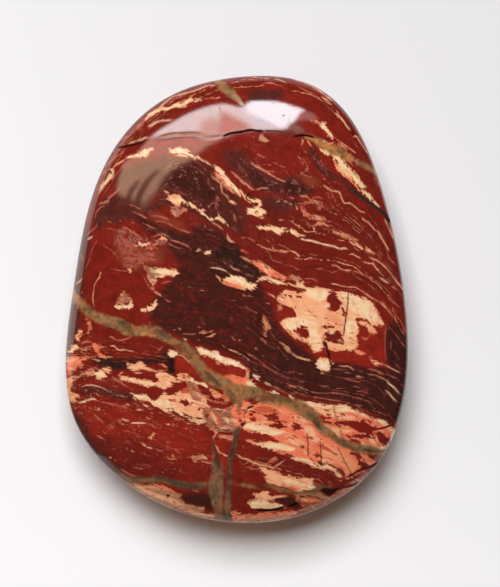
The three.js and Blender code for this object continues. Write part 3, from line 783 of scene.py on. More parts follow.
# Red and dark patches that show through the pale ones: colour, half width, points
islands = [
    ("brick", 0, [(328, 293), (334, 292), (338, 297), (342, 301), (340, 307), (336, 311), (331, 308),
        (328, 303)]),
    ("scarlet", 0, [(283, 309), (290, 308), (294, 311), (297, 317), (288, 317), (280, 320), (275, 316)]),
    ("brick", 0, [(292, 330), (298, 328), (305, 327), (309, 330), (308, 337), (303, 338), (297, 335)]),
    ("rose", 1.3, [(294, 333), (300, 335)]),
    ("scarlet", 0, [(321, 326), (328, 325), (335, 327), (333, 329), (326, 329), (321, 329)]),
    ("brick", 0, [(325, 333), (328, 330), (333, 332), (338, 331), (341, 335), (344, 340), (342, 342),
        (343, 345), (336, 344), (330, 342), (326, 339)]),
    ("cream", 1.6, [(329, 332), (334, 333)]),
    ("peach", 1.3, [(338, 340), (341, 341)]),
    ("scarlet", 0, [(361, 328), (364, 325), (367, 327), (368, 333), (365, 336), (362, 333)]),
    ("scarlet", 1.1, [(328, 308), (334, 310)]),
    ("scarlet", 1.1, [(341, 306), (344, 312), (347, 311)]),
    ("scarlet", 1.0, [(323, 318), (330, 320)]),
    ("scarlet", 1.0, [(333, 322), (338, 325)]),
    ("scarlet", 1.4, [(283, 296), (286, 297)]),
    ("scarlet", 1.2, [(290, 296), (292, 297)]),
    ("scarlet", 1.2, [(296, 298), (301, 296)]),
    ("scarlet", 1.2, [(294, 306), (296, 307)]),
    ("coral", 1.3, [(298, 321), (306, 322)]),
    ("coral", 1.2, [(349, 332), (354, 336)]),
    ("scarlet", 1.0, [(358, 324), (361, 330), (358, 336)]),
    ("scarlet", 0, [(127, 384), (135, 384), (144, 388), (152, 391), (150, 392), (142, 392), (134, 390),
        (129, 387)]),
    ("brick", 0, [(146, 390), (150, 389), (158, 389), (163, 391), (162, 395), (158, 399), (152, 400),
        (148, 396)]),
    ("brick", 0, [(165, 391), (168, 388), (174, 387), (179, 388), (178, 393), (170, 395), (166, 393)]),
    ("coral", 0, [(180, 394), (187, 394), (189, 391), (186, 389), (181, 390)]),
    ("brick", 0, [(180, 402), (183, 400), (188, 401), (189, 405), (184, 405)]),
    ("scarlet", 1.2, [(190, 405), (194, 403)]),
    ("brick", 1.1, [(152, 387), (157, 388)]),
    ("scarlet", 1.4, [(196, 409), (202, 412)]),
    ("coral", 1.4, [(170, 400), (176, 399)]),
    ("brick", 0, [(202, 392), (206, 391), (211, 393), (208, 395), (203, 394)]),
    ("scarlet", 0, [(200, 400), (206, 402), (213, 403), (220, 404), (228, 406), (225, 408), (218, 408),
        (210, 406), (203, 403)]),
    ("scarlet", 1.5, [(208, 413), (207, 418)]),
    ("brick", 1.8, [(239, 419), (241, 423)]),
    ("dusk", 1.6, [(214, 424), (218, 429)]),
    ("dusk", 2.0, [(224, 431), (232, 431)]),
    ("scarlet", 0, [(314, 417), (319, 416), (324, 418), (326, 421), (331, 423), (324, 424), (317, 422)]),
    ("brick", 0, [(336, 421), (345, 421), (350, 420), (362, 420), (366, 422), (372, 426), (378, 429),
        (374, 431), (370, 433), (363, 433), (357, 430), (350, 427), (343, 426), (338, 425)]),
    ("scarlet", 1.6, [(372, 432), (377, 436)]),
    ("brick", 0, [(376, 433), (381, 431), (386, 435), (390, 440), (386, 446), (380, 443)]),
    ("brick", 2.2, [(346, 436), (354, 437), (364, 436), (374, 438)]),
    ("brick", 1.8, [(364, 430), (372, 433), (381, 436)]),
    ("scarlet", 0, [(348, 440), (355, 438), (361, 441), (359, 445), (350, 444)]),
    ("scarlet", 0.9, [(326, 410), (331, 411)]),
    ("scarlet", 0.9, [(325, 414), (330, 415)]),
    ("scarlet", 0.9, [(340, 414), (346, 415)]),
    ("scarlet", 0.9, [(324, 417), (331, 418)]),
    ("scarlet", 0, [(264, 417), (269, 415), (276, 415), (281, 418), (274, 420)]),
    ("brick", 0, [(265, 424), (272, 423), (282, 423), (287, 426), (280, 429), (272, 427)]),
    ("scarlet", 0, [(291, 425), (299, 424), (301, 428), (297, 431), (293, 430)]),
    ("scarlet", 1.8, [(249, 412), (255, 414)]),
    ("scarlet", 1.6, [(248, 417), (252, 420), (256, 421)]),
    ("brick", 1.3, [(300, 446), (305, 448)]),
    ("scarlet", 1.3, [(310, 454), (317, 456)]),
    ("coral", 1.5, [(290, 436), (297, 438)]),
    ("coral", 1.3, [(322, 447), (329, 450)]),
    ("scarlet", 0, [(239, 432), (243, 429), (248, 431), (255, 432), (261, 434), (267, 435), (272, 437),
        (276, 440), (277, 442), (270, 442), (263, 442), (256, 441), (249, 440), (241, 440)]),
    ("oxblood", 0, [(350, 452), (356, 453), (361, 456), (362, 460), (367, 464), (370, 469), (364, 470),
        (359, 465), (357, 460), (354, 456)]),
    ("oxblood", 1.6, [(338, 466), (342, 470), (345, 477)]),
    ("scarlet", 1.6, [(281, 483), (286, 485)]),
    ("scarlet", 0.9, [(281, 474), (287, 475)]),
    ("scarlet", 0.9, [(291, 476), (296, 477)]),
    ("scarlet", 0, [(269, 493), (274, 492), (276, 495), (270, 495)]),
    ("maroon", 0, [(273, 499), (280, 498), (288, 497), (294, 498), (297, 502), (301, 505), (295, 508),
        (290, 508), (285, 505), (279, 502)]),
    ("maroon", 1.8, [(166, 495), (169, 496)]),
    ("brick", 2.0, [(238, 510), (247, 513)]),
    ("tan", 0, [(295, 494), (304, 491), (315, 492), (325, 495), (326, 498), (312, 496), (302, 497)]),
    ("tan", 1.7, [(256, 211), (257, 212)]),
    ("olive", 1.4, [(105, 373), (106, 373)]),
]

# Veins, from amber over olive to grey: colour, half width, points
veins = [
    ("khaki", 4.2, [(204, 71), (213, 76), (218, 81), (223, 87), (229, 92), (236, 98), (242, 104)]),
    ("olive", 1.2, [(158, 139), (165, 137), (180, 135), (198, 135), (208, 138), (222, 136)]),
    ("amber", 0, [(305, 134), (314, 137), (325, 142), (336, 146), (345, 151), (354, 157), (352, 162),
        (342, 158), (332, 154), (322, 148), (313, 142), (305, 138)]),
    ("tan", 2.2, [(350, 158), (358, 162), (367, 167), (374, 171), (380, 177)]),
    ("khaki", 0, [(61, 278), (72, 287), (82, 299), (91, 307), (101, 314), (112, 317), (118, 318),
        (128, 322), (137, 326), (145, 326), (158, 327), (163, 330), (170, 336), (178, 340), (187, 343),
        (191, 347), (196, 352), (200, 358), (206, 366), (214, 371), (222, 375), (230, 380), (235, 384),
        (245, 385), (255, 387), (265, 391), (280, 396), (297, 400), (305, 403), (313, 408), (319, 416),
        (325, 424), (333, 431), (342, 438), (352, 442), (364, 444), (378, 448), (388, 452), (382, 455),
        (372, 455), (360, 453), (350, 450), (344, 447), (338, 443), (329, 438), (318, 430), (309, 421),
        (304, 418), (296, 413), (280, 407), (262, 403), (252, 398), (243, 400), (236, 404), (230, 401),
        (222, 390), (212, 386), (203, 380), (196, 371), (192, 364), (187, 358), (176, 351), (172, 345),
        (163, 341), (155, 338), (145, 336), (128, 336), (122, 333), (114, 328), (104, 325), (92, 320),
        (82, 312), (72, 301), (60, 290)]),
    ("khaki", 2.8, [(241, 396), (240, 404), (238, 411)]),
    ("slate", 1.8, [(233, 399), (234, 404)]),
    ("olive", 2.8, [(112, 474), (118, 475), (124, 478), (132, 480), (145, 480), (163, 480), (175, 483),
        (191, 485), (212, 484)]),
    ("slate", 2.4, [(153, 477), (162, 478), (171, 481), (180, 484), (192, 487), (206, 487)]),
    ("bark", 0, [(213, 440), (215, 447), (219, 456), (222, 464), (223, 473), (224, 488), (223, 502),
        (224, 516), (230, 522), (216, 523), (214, 510), (211, 498), (208, 485), (212, 474), (213, 460),
        (213, 450)]),
    ("slate", 0, [(240, 427), (239, 437), (236, 449), (233, 457), (232, 470), (232, 490), (231, 505),
        (231, 520), (224, 522), (223, 508), (224, 498), (226, 482), (227, 466), (228, 456), (231, 445),
        (233, 434), (236, 429)]),
    ("olive", 1.9, [(236, 485), (246, 486), (254, 487), (262, 487), (270, 486), (281, 489), (292, 492),
        (303, 493), (312, 491), (322, 488), (332, 486)]),
]

# Patches of other colours inside the veins, and pale flecks lying over them
veinPatches = [
    ("olive", 3.4, [(117, 321), (124, 325), (131, 329)]),
    ("olive", 2.6, [(88, 306), (96, 312)]),
    ("tan", 3.2, [(72, 290), (79, 297)]),
    ("rust", 2.6, [(150, 333), (158, 334)]),
    ("slate", 3.2, [(157, 330), (165, 334), (171, 338)]),
    ("rust", 3.6, [(172, 345), (181, 349), (189, 353)]),
    ("khaki", 2.8, [(188, 356), (193, 359), (198, 365)]),
    ("olive", 2.8, [(203, 370), (210, 376), (217, 380)]),
    ("olive", 3.6, [(230, 397), (233, 402), (236, 405)]),
    ("tan", 2.4, [(222, 382), (229, 386)]),
    ("slate", 1.8, [(214, 379), (220, 386)]),
    ("rust", 3.2, [(258, 396), (266, 398), (274, 400)]),
    ("amber", 3.4, [(236, 393), (242, 396), (246, 394)]),
    ("amber", 3.0, [(268, 403), (280, 406), (290, 410), (299, 416)]),
    ("olive", 2.6, [(258, 391), (270, 395), (284, 399), (296, 402)]),
    ("olive", 3.8, [(308, 412), (315, 422), (322, 430)]),
    ("moss", 1.8, [(314, 420), (318, 426), (323, 430)]),
    ("tan", 2.0, [(322, 432), (327, 433)]),
    ("olive", 3.0, [(334, 438), (344, 445), (354, 448)]),
    ("moss", 2.2, [(362, 449), (370, 451), (378, 452)]),
    ("tan", 2.0, [(96, 315), (106, 320), (116, 324)]),
    ("amber", 2.0, [(132, 332), (144, 334), (156, 336)]),
    ("moss", 2.0, [(120, 321), (126, 324)]),
    ("plum", 4.4, [(216, 450), (218, 460), (219, 468)]),
    ("ink", 1.2, [(212, 440), (213, 443), (215, 450), (217, 455)]),
    ("moss", 3.4, [(234, 446), (231, 456), (230, 468), (229, 478)]),
    ("bark", 3.4, [(228, 492), (228, 502), (227, 516)]),
    ("oxblood", 0.8, [(223, 474), (224.5, 484), (224.5, 494), (223, 502)]),
    ("khaki", 1.7, [(239, 485), (247, 486), (254, 487)]),
    ("plum", 2.6, [(255, 484), (262, 487), (268, 489)]),
    ("khaki", 1.5, [(274, 488), (284, 490), (294, 492)]),
    ("khaki", 1.2, [(136, 480), (150, 480), (160, 480)]),
    ("peach", 1.1, [(223, 474), (225, 475)]),
]

# Open and healed cracks, nearly black. The first ten marks are pits in the polish, painted as dark dots:
# painted shade where the pits break the window reflection
cracksAndPits = [
    ("ink", 1.1, [(283, 115), (284, 116)]),
    ("ink", 0.8, [(288, 119), (289, 120.5)]),
    ("ink", 0.7, [(273, 103.5), (274, 103.5)]),
    ("slate", 0.8, [(280.5, 124.5), (281.5, 124.5)]),
    ("slate", 0.7, [(269.5, 113.5), (270, 114.5)]),
    ("slate", 0.7, [(272, 118.5), (273, 118.5)]),
    ("slate", 0.7, [(275, 117), (276, 117)]),
    ("slate", 0.7, [(249, 119.5), (250, 119.5)]),
    ("ink", 0.8, [(210.5, 116.5), (211.5, 116.5)]),
    ("ink", 0.8, [(212.5, 118.5), (213.5, 118.5)]),
    ("slate", 0.7, [(218, 105), (219.5, 108), (221, 112)]),
    ("ink", 1.3, [(221, 137), (226, 135), (232, 133), (240, 132), (250, 130), (258, 131), (266, 131)]),
    ("slate", 1.0, [(264, 131), (276, 131), (285, 133), (294, 137)]),
    ("ink", 1.3, [(292, 137), (297, 136), (303, 135), (309, 136), (316, 138)]),
    ("moss", 1.9, [(352, 189), (357, 193), (363, 198), (370, 203), (377, 208), (385, 215), (393, 226)]),
    ("ink", 1.0, [(117, 148), (121, 147), (128, 146), (136, 144), (146, 141)]),
    ("ink", 1.2, [(108, 169), (113, 175)]),
    ("ink", 1.0, [(251, 192), (245, 198)]),
    ("ink", 0.8, [(352, 130), (354, 136)]),
    ("ink", 0.9, [(172, 193), (179, 195)]),
    ("ink", 1.1, [(325, 340), (327, 348), (329, 356), (331, 366)]),
    ("moss", 1.2, [(247, 409), (251, 407), (254, 406)]),
    ("slate", 0.7, [(248, 410), (245, 413), (244, 417)]),
    ("soot", 0.9, [(246, 420), (244, 424), (241, 428)]),
    ("ink", 1.3, [(253, 509), (262, 510), (271, 510), (280, 508), (288, 506)]),
    ("ink", 2.0, [(287, 507), (293, 505), (299, 502)]),
    ("soot", 0, [(168, 361), (172, 357), (175, 360), (173, 365), (175, 370), (173, 374), (169, 371),
        (170, 366)]),
    ("slate", 1.3, [(170, 368), (171, 373)]),
    ("moss", 0, [(249, 373), (252, 372), (253, 375), (252, 379), (250, 379)]),
    ("soot", 0, [(320, 490), (326, 488), (333, 489), (341, 486), (337, 490), (333, 494), (328, 495),
        (323, 492)]),
    ("plum", 0.8, [(348, 292), (348, 302), (346, 317), (343, 338)]),
    ("plum", 0.8, [(333, 405), (335, 413), (338, 422), (341, 432), (345, 443)]),
    ("plum", 0.8, [(337, 446), (342, 456), (347, 466), (353, 476)]),
    ("plum", 0.8, [(320, 440), (321, 452), (321, 468)]),
    ("plum", 0.8, [(307, 432), (308, 445), (308, 456)]),
    ("plum", 1.3, [(344, 478), (352, 475), (358, 471), (364, 469), (372, 466), (379, 461)]),
    ("plum", 1.1, [(340, 488), (350, 486), (359, 482)]),
    ("oxblood", 1.2, [(372, 430), (383, 428), (394, 424)]),
    ("plum", 0.9, [(322, 100), (330, 107), (338, 114)]),
    ("plum", 0.9, [(182, 415), (188, 416)]),
    ("plum", 0.9, [(194, 418), (204, 419)]),
]

# Zones with small flecks drawn out along the layers: colour, share of the zone, fade, outline
fleckZones = [
    ("brick", 0.24, 8, [(150, 215), (190, 210), (222, 205), (246, 240), (268, 275), (285, 320), (270, 372),
        (235, 356), (200, 344), (160, 328), (150, 300), (165, 270), (160, 240)]),
    ("dusk", 0.4, 5, [(236, 158), (262, 160), (290, 172), (318, 172), (322, 205), (290, 207), (262, 196),
        (240, 182)]),
    ("dusk", 0.22, 6, [(168, 168), (200, 164), (232, 196), (250, 226), (232, 236), (206, 230), (170, 224),
        (140, 214), (160, 196)]),
    ("rose", 0.12, 8, [(168, 168), (200, 164), (232, 196), (240, 216), (206, 218), (160, 196)]),
    ("dusk", 0.25, 6, [(102, 216), (140, 216), (190, 240), (250, 262), (240, 282), (186, 256), (140, 252),
        (104, 240)]),
    ("rose", 0.2, 8, [(300, 140), (330, 160), (350, 200), (330, 212), (300, 196)]),
    ("lilac", 0.16, 5, [(240, 160), (262, 160), (300, 166), (322, 180), (322, 205), (290, 207),
        (262, 196)]),
    ("lilac", 0.18, 5, [(168, 160), (196, 162), (200, 196), (180, 204), (166, 196)]),
    ("lilac", 0.42, 3, [(117, 230), (128, 228), (140, 234), (152, 238), (162, 231), (170, 236), (170, 243),
        (156, 247), (138, 247), (126, 244), (119, 238)]),
    ("rose", 0.6, 5, [(114, 236), (128, 240), (140, 250), (156, 252), (146, 266), (128, 270), (118, 256)]),
    ("rose", 0.08, 8, [(90, 430), (140, 420), (210, 432), (214, 480), (150, 474), (104, 460)]),
    ("peach", 0.2, 6, [(70, 340), (106, 342), (104, 368), (72, 372)]),
    ("peach", 0.22, 5, [(66, 378), (84, 380), (98, 396), (96, 414), (76, 412)]),
    ("peach", 0.1, 8, [(84, 376), (124, 384), (150, 400), (200, 424), (150, 432), (88, 412)]),
]

# Zones with hair-thin lines along the layers: colour, strength, fade, outline
threadZones = [
    ("peach", 0.75, 10, [(296, 214), (340, 204), (378, 222), (398, 262), (409, 310), (406, 345), (388, 314),
        (352, 294), (304, 284), (268, 268), (262, 246), (280, 232)]),
    ("rose", 0.6, 5, [(236, 352), (262, 356), (300, 374), (318, 368), (345, 366), (405, 366), (412, 400),
        (394, 424), (345, 405), (300, 398), (265, 388), (248, 372)]),
    ("peach", 0.6, 6, [(90, 232), (110, 160), (138, 122), (170, 98), (220, 80), (270, 76), (320, 90),
        (348, 118), (330, 118), (300, 98), (250, 92), (200, 100), (160, 126), (132, 156), (110, 200)]),
    ("rose", 0.7, 6, [(345, 134), (385, 180), (404, 250), (412, 330), (402, 330), (392, 262), (370, 204)]),
    ("rose", 0.45, 8, [(66, 380), (110, 385), (150, 402), (205, 425), (214, 470), (170, 474), (110, 455),
        (80, 420)]),
    ("dusk", 0.6, 8, [(150, 214), (200, 214), (240, 238), (272, 290), (300, 350), (262, 362), (240, 330),
        (226, 290), (190, 262), (150, 244)]),
    ("peach", 0.4, 8, [(242, 450), (300, 458), (340, 476), (338, 492), (280, 486), (242, 470)]),
    ("coral", 0.6, 8, [(110, 336), (160, 340), (200, 356), (150, 364), (104, 360)]),
]

# Lines that the layers follow, each with its level: noise is drawn out along them
bandGuides = [
    (86, [(88, 235), (96, 205), (115, 162), (135, 141), (160, 119), (190, 99), (225, 87), (262, 82),
        (300, 88), (335, 108), (358, 140), (376, 175), (393, 225), (401, 262)]),
    (188, [(169, 149), (213, 166), (246, 197), (299, 237), (348, 250), (373, 264), (397, 290), (405, 320)]),
    (235, [(163, 190), (206, 216), (240, 245), (266, 270), (304, 283), (345, 290), (370, 300), (404, 350)]),
    (258, [(96, 226), (110, 213), (128, 210), (146, 219), (165, 230), (185, 241), (205, 247), (225, 258)]),
    (300, [(92, 266), (120, 262), (150, 266), (190, 280), (220, 293), (244, 305), (265, 322), (284, 345),
        (304, 359), (335, 368), (367, 369), (400, 395)]),
    (351, [(107, 337), (137, 339), (165, 345), (228, 349), (262, 363), (296, 379), (335, 393), (372, 402)]),
    (375, [(80, 355), (112, 357), (150, 362), (230, 380), (253, 375)]),
    (424, [(66, 378), (91, 384), (133, 394), (200, 419), (245, 425), (284, 431), (304, 440), (365, 470)]),
    (466, [(95, 430), (141, 442), (168, 455), (211, 464), (262, 470), (312, 487)]),
    (487, [(120, 468), (163, 478), (211, 484), (252, 488), (309, 500)]),
]


# Photo colour as the shader takes it
def linearOf(name):
    share = np.array(colours[name]) / 255
    return np.where(share <= 0.04045, share / 12.92, ((share + 0.055) / 1.055) ** 2.4)


def smoothBetween(start, end, value):
    share = np.clip((value - start) / (end - start), 0, 1)
    return share * share * (3 - 2 * share)


# Curve through given points, with its corners rounded
def rounded(points, closed):
    points = np.array(points, dtype=float)
    if len(points) < 3:
        return points
    before = np.roll(points, 1, axis=0) if closed else np.vstack([points[:1], points[:-1]])
    after = np.roll(points, -1, axis=0) if closed else np.vstack([points[1:], points[-1:]])
    beyond = np.roll(points, -2, axis=0) if closed else np.vstack([points[2:], points[-1:], points[-1:]])
    curve = []
    for u in (0.0, 0.25, 0.5, 0.75):
        bend = (2 * before - 5 * points + 4 * after - beyond) * u * u
        bend = bend + (3 * points - before - 3 * after + beyond) * u**3
        curve.append(points + 0.5 * ((after - before) * u + bend))
    curve = np.stack(curve, axis=1).reshape(-1, 2)
    return curve if closed else np.vstack([curve[:-4], points[-1:]])


# Distance to a line, and how far along the line its nearest point is
def distanceTo(line, at):
    nearest, along, run = np.full(len(at), 1e9), np.zeros(len(at)), 0.0
    for start, end in zip(line[:-1], line[1:]):
        step = end - start
        length = max(math.hypot(*step), 1e-6)
        share = np.clip((at - start) @ step / length**2, 0, 1)
        away = np.hypot(*(at - start - share[:, None] * step).T)
        closer = away < nearest
        nearest = np.where(closer, away, nearest)
        along = np.where(closer, run + share * length, along)
        run += length
    return nearest, along, run


# How marks are laid on, in pixels of the photo
brush = {
    "reach": 6.0,  # how far from its outline a mark's depth is kept
    "seam": 0.7,  # half the blend where one patch lies over another
    "colourStart": (-3, -2),  # where a patch's colour sets in outside its outline
    "veinSeam": 1.2,
    "tip": 0.35,  # width of a line's ends, as a share of its middle
    "margin": 4,
    "hairline": 1.5,  # marks with a smaller half width are faint lines
    "thinEdge": 0.9,
    "thinSpread": 0.85,  # how far a faint line fades, for each pixel of its half width
    "thinBlur": 0.3,  # and this much more
    "thinStrength": 0.45,  # how strong the thinnest line is
    "thinGain": 0.5,  # what each pixel of half width adds
}


# How many pixels inside a mark each point lies, less than nothing outside it
def depthInside(points, halfWidth, at):
    if halfWidth == 0:
        outline = rounded(points, True)
        outline = np.vstack([outline, outline[:1]])
        away = distanceTo(outline, at)[0]
        within = np.zeros(len(at), dtype=bool)
        for (x0, y0), (x1, y1) in zip(outline[:-1], outline[1:]):
            crosses = (y0 > at[:, 1]) != (y1 > at[:, 1])
            across = x0 + (at[:, 1] - y0) * (x1 - x0) / (y1 - y0 if y1 != y0 else 1)
            within ^= crosses & (at[:, 0] < across)
        return np.where(within, away, -away)
    away, along, length = distanceTo(rounded(points, False), at)
    ends = np.minimum(along, length - along)
    taper = brush["tip"] + (1 - brush["tip"]) * smoothBetween(0, min(4 * halfWidth, length / 2), ends)
    return halfWidth * taper - away


# The vertices near a mark
def nearMark(points, reach, at):
    corners = np.array(points)
    lowCorner, highCorner = corners.min(axis=0) - reach, corners.max(axis=0) + reach
    return np.nonzero(((at > lowCorner) & (at < highCorner)).all(axis=1))[0]


# Colour and depth of one layer: the outline stays sharp between vertices, as depth is kept in pixels
def paintLayer(marks, at):
    colour, depth = np.zeros((len(at), 3)), np.full(len(at), -brush["reach"])
    for name, halfWidth, points in marks:
        near = nearMark(points, halfWidth + brush["reach"], at)
        inside = depthInside(points, halfWidth, at[near])
        overPatch = smoothBetween(-brush["seam"], brush["seam"], inside)
        weight = np.where(depth[near] > 0, overPatch, smoothBetween(*brush["colourStart"], inside))
        colour[near] += weight[:, None] * (linearOf(name) - colour[near])
        depth[near] = np.maximum(depth[near], inside)
    return np.column_stack([colour, np.clip(depth, -brush["reach"], brush["reach"])])


# Colour and strength of marks too thin for an outline
def paintThin(marks, at):
    colour, strength = np.zeros((len(at), 3)), np.zeros(len(at))
    for name, halfWidth, points in marks:
        near = nearMark(points, halfWidth + brush["reach"] - 1, at)
        inside = depthInside(points, halfWidth, at[near])
        if halfWidth == 0:
            mark = smoothBetween(-brush["thinEdge"], brush["thinEdge"], inside)
        else:
            fromMiddle = (halfWidth - inside) / (brush["thinSpread"] * halfWidth + brush["thinBlur"])
            strongest = min(1, brush["thinStrength"] + brush["thinGain"] * halfWidth)
            mark = strongest * np.exp(-(fromMiddle**2))
        stronger = mark > strength[near]
        colour[near[stronger]] = linearOf(name)
        strength[near] = np.maximum(strength[near], mark)
    return np.column_stack([colour, strength])


# The vertices near a soft-edged patch, and how much of it each has
def fadedPatch(points, fade, at):
    near = nearMark(points, fade + brush["margin"], at)
    return near, smoothBetween(-fade, fade, depthInside(points, 0, at[near]))[:, None]


def paintGrounds(at):
    colour = np.tile(linearOf("brick"), (len(at), 1))
    for name, fade, points in grounds:
        near, weight = fadedPatch(points, fade, at)
        colour[near] += weight * (linearOf(name) - colour[near])
    return colour


# Level of the layers at each point, bent smoothly through the guide lines
def bandLevel(at):
    unit = 100  # pixels
    slack = 0.02  # how freely the surface may leave the guide lines
    places = np.array([point for _, line in bandGuides for point in line], dtype=float) / unit
    levels = np.array([level for level, line in bandGuides for _ in line], dtype=float)

    def plate(a, b):
        gap = np.linalg.norm(a[:, None, :] - b[None, :, :], axis=2) + 1e-9
        return gap**2 * np.log(gap)

    flat = np.column_stack([np.ones(len(places)), places])
    bending = plate(places, places) + slack * np.eye(len(places))
    known = np.block([[bending, flat], [flat.T, np.zeros((3, 3))]])
    weights = np.linalg.solve(known, np.concatenate([levels, [0, 0, 0]]))
    at = at / unit
    return plate(at, places) @ weights[:-3] + np.column_stack([np.ones(len(at)), at]) @ weights[-3:]


def inScene(name, data):
    made = bpy.data.objects.new(name, data)
    bpy.context.scene.collection.objects.link(made)
    return made


# Dome and belly as one closed mesh
domePoints = halfOfStone(stone["domeCells"], True)
bellyPoints = halfOfStone(stone["bellyCells"], False)
domeRim = rimOf(stone["domeCells"], 0)
bellyRim = rimOf(stone["bellyCells"], len(domePoints))
finer = len(domeRim) // len(bellyRim)
rimPlace = {corner: k for k, corner in enumerate(bellyRim)}
faces = gridFaces(stone["domeCells"], 0, False).tolist()
for face in gridFaces(stone["bellyCells"], len(domePoints), True).tolist():
    corners = []
    for corner, following in zip(face, face[1:] + face[:1]):
        place, nextPlace = rimPlace.get(corner), rimPlace.get(following)
        corners.append(corner if place is None else domeRim[finer * place])
        if place is None or nextPlace is None:
            continue
        turn = (nextPlace - place) % len(bellyRim)
        if turn in (1, len(bellyRim) - 1):
            way = 1 if turn == 1 else -1
            corners += [domeRim[(finer * place + way * k) % len(domeRim)] for k in range(1, finer)]
    faces.append(corners)
places = np.vstack([domePoints, bellyPoints])
used = np.zeros(len(places), dtype=bool)
used[np.concatenate([np.array(face) for face in faces])] = True
renumbered = np.cumsum(used) - 1
faces = [[int(renumbered[corner]) for corner in face] for face in faces]
fromDome = (np.arange(len(places)) < len(domePoints))[used]
places = places[used]
stoneMesh = bpy.data.meshes.new("jasperStone")
stoneMesh.from_pydata(places.tolist(), [], faces)
stoneMesh.polygons.foreach_set("use_smooth", [True] * len(faces))
jasperStone = inScene("jasperStone", stoneMesh)
print("stone built:", len(places), "points")

# Below the girdle the layers dip on into the stone, so their place in the photo shifts with depth
dip = {
    "across": 0.9,  # millimetres of shift for each millimetre below the girdle
    "along": -0.6,
    "wander": 0.3,
    "waves": (260, 310),  # radians a metre
    "starts": (1.3, 0.4),
}
drop = np.maximum(stone["girdleHeight"] / 1000 - places[:, 2], 0)
drop[fromDome] = 0
shifted = places.copy()
waveX = np.sin(dip["waves"][0] * places[:, 1] + dip["starts"][0])
waveY = np.sin(dip["waves"][1] * places[:, 0] + dip["starts"][1])
shifted[:, 0] += drop * (dip["across"] + dip["wander"] * waveX)
shifted[:, 1] += drop * (dip["along"] + dip["wander"] * waveY)
shifted[:, 2] += drop
pixels = toPixels(shifted)

paleMarks = topMarks + upperRightMarks + creamTrailMarks + rightBandMarks + bigPatchMarks
paleMarks += maroonBandMarks + middleLeftMarks + lowerLeftMarks + bottomMarks
paleLines = [mark for mark in paleMarks if 0 < mark[1] < brush["hairline"]]
palePatches = [mark for mark in paleMarks if mark[1] == 0 or mark[1] >= brush["hairline"]]
layers = {
    "paleLayer": paintLayer(palePatches, pixels),
    "lineLayer": paintThin(paleLines, pixels),
    "islandLayer": paintLayer(islands, pixels),
    "veinLayer": paintLayer(veins, pixels),
    "crackAndPitLayer": paintThin(cracksAndPits, pixels),
}
for name, halfWidth, points in veinPatches:
    near = nearMark(points, halfWidth + brush["margin"], pixels)
    inside = depthInside(points, halfWidth, pixels[near])
    weight = smoothBetween(-brush["veinSeam"], brush["veinSeam"], inside)
    layers["veinLayer"][near, :3] += weight[:, None] * (linearOf(name) - layers["veinLayer"][near, :3])
for layerName, zones in (("fleckLayer", fleckZones), ("threadLayer", threadZones)):
    painted = np.zeros((len(places), 4))
    for name, share, fade, points in zones:
        near, weight = fadedPatch(points, fade, pixels)
        painted[near] += weight * (np.append(linearOf(name), share) - painted[near])
    layers[layerName] = painted
layers["groundLayer"] = np.column_stack([paintGrounds(pixels), np.ones(len(places))])
for name, values in layers.items():
    stoneMesh.attributes.new(name, "FLOAT_COLOR", "POINT").data.foreach_set("color", values.ravel())
stoneMesh.attributes.new("bandLevel", "FLOAT", "POINT").data.foreach_set("value", bandLevel(pixels))
print("markings placed:", len(paleMarks) + len(islands) + len(veins) + len(cracksAndPits))

# Cracks sink into the polish, the softer veins a little
relief = {"crackDepth": 0.04, "veinDepth": 0.008, "veinEdge": (-1, 1.5)}  # mm, mm, px
normals = np.zeros(3 * len(places))
stoneMesh.vertices.foreach_get("normal", normals)
openCracks = [mark for mark in cracksAndPits if mark[1] == 0 or mark[1] > brush["hairline"]]
sink = relief["crackDepth"] * paintThin(openCracks, pixels)[:, 3] ** 2
sink += relief["veinDepth"] * smoothBetween(*relief["veinEdge"], layers["veinLayer"][:, 3])
normals = normals.reshape(-1, 3)
lowered = places - normals * sink[:, None] / 1000
stoneMesh.vertices.foreach_set("co", lowered.ravel())
stoneMesh.update()
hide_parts("stone")
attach(jasperStone, "root")

# Polished jasper
jasper = {
    "polish": 0.06,
    "veinPolish": 0.2,
    "ior": 1.54,
    "wander": 16.0,  # how far the layers bend, in levels
    "cloudScale": 0.75,  # per millimetre
    "farCloudScale": 1.3,
    "grainScale": 2.4,
    "fineGrainScale": 6.0,
    "grain": 5.0,  # px, how far the grain makes the outlines ragged
    "feather": 10.0,  # px, how far they fray along the layers
    "edge": 0.6,  # px, half the blend at a patch's outline
    "veinEdge": 2.0,
    "clouds": 0.45,  # strength of the clouds in the ground
    "streaks": 0.3,
    "threadSpacing": 5.0,  # px
    "threadWidth": 1.1,
    "pitStrength": 0.2,
    "pitDepth": 0.00002,  # metres
    "dark": (0.55, 0.6, 0.65, 1),  # by these the ground is darkened and lightened
    "light": (1.4, 1.5, 1.5, 1),
    "darkGrain": (0.05, 0.011, 0.009, 1),
    "redClouds": (0.3, 0.045, 0.025, 1),
    "linesFade": (0.48, 0.12, 0.08, 1),
    "salmonClouds": (0.84, 0.32, 0.16, 1),
    "salmonFrays": (0.82, 0.27, 0.13, 1),
    "creamStreaks": (0.95, 0.7, 0.42, 1),
    "rosyGrain": (0.6, 0.2, 0.1, 1),
    "patchEdge": (0.66, 0.17, 0.08, 1),
    "redFlecks": (0.32, 0.035, 0.018, 1),
    "islandClouds": (0.12, 0.014, 0.01, 1),
    "veinGreen": (0.13, 0.11, 0.05, 1),
    "veinOrange": (0.4, 0.13, 0.05, 1),
    "veinBrown": (0.08, 0.045, 0.022, 1),
    "veinSand": (0.44, 0.25, 0.13, 1),
    "veinDark": (0.07, 0.035, 0.02, 1),
}
material = bpy.data.materials.new("polished_jasper")
material.use_nodes = True
tree = material.node_tree
tree.nodes.clear()


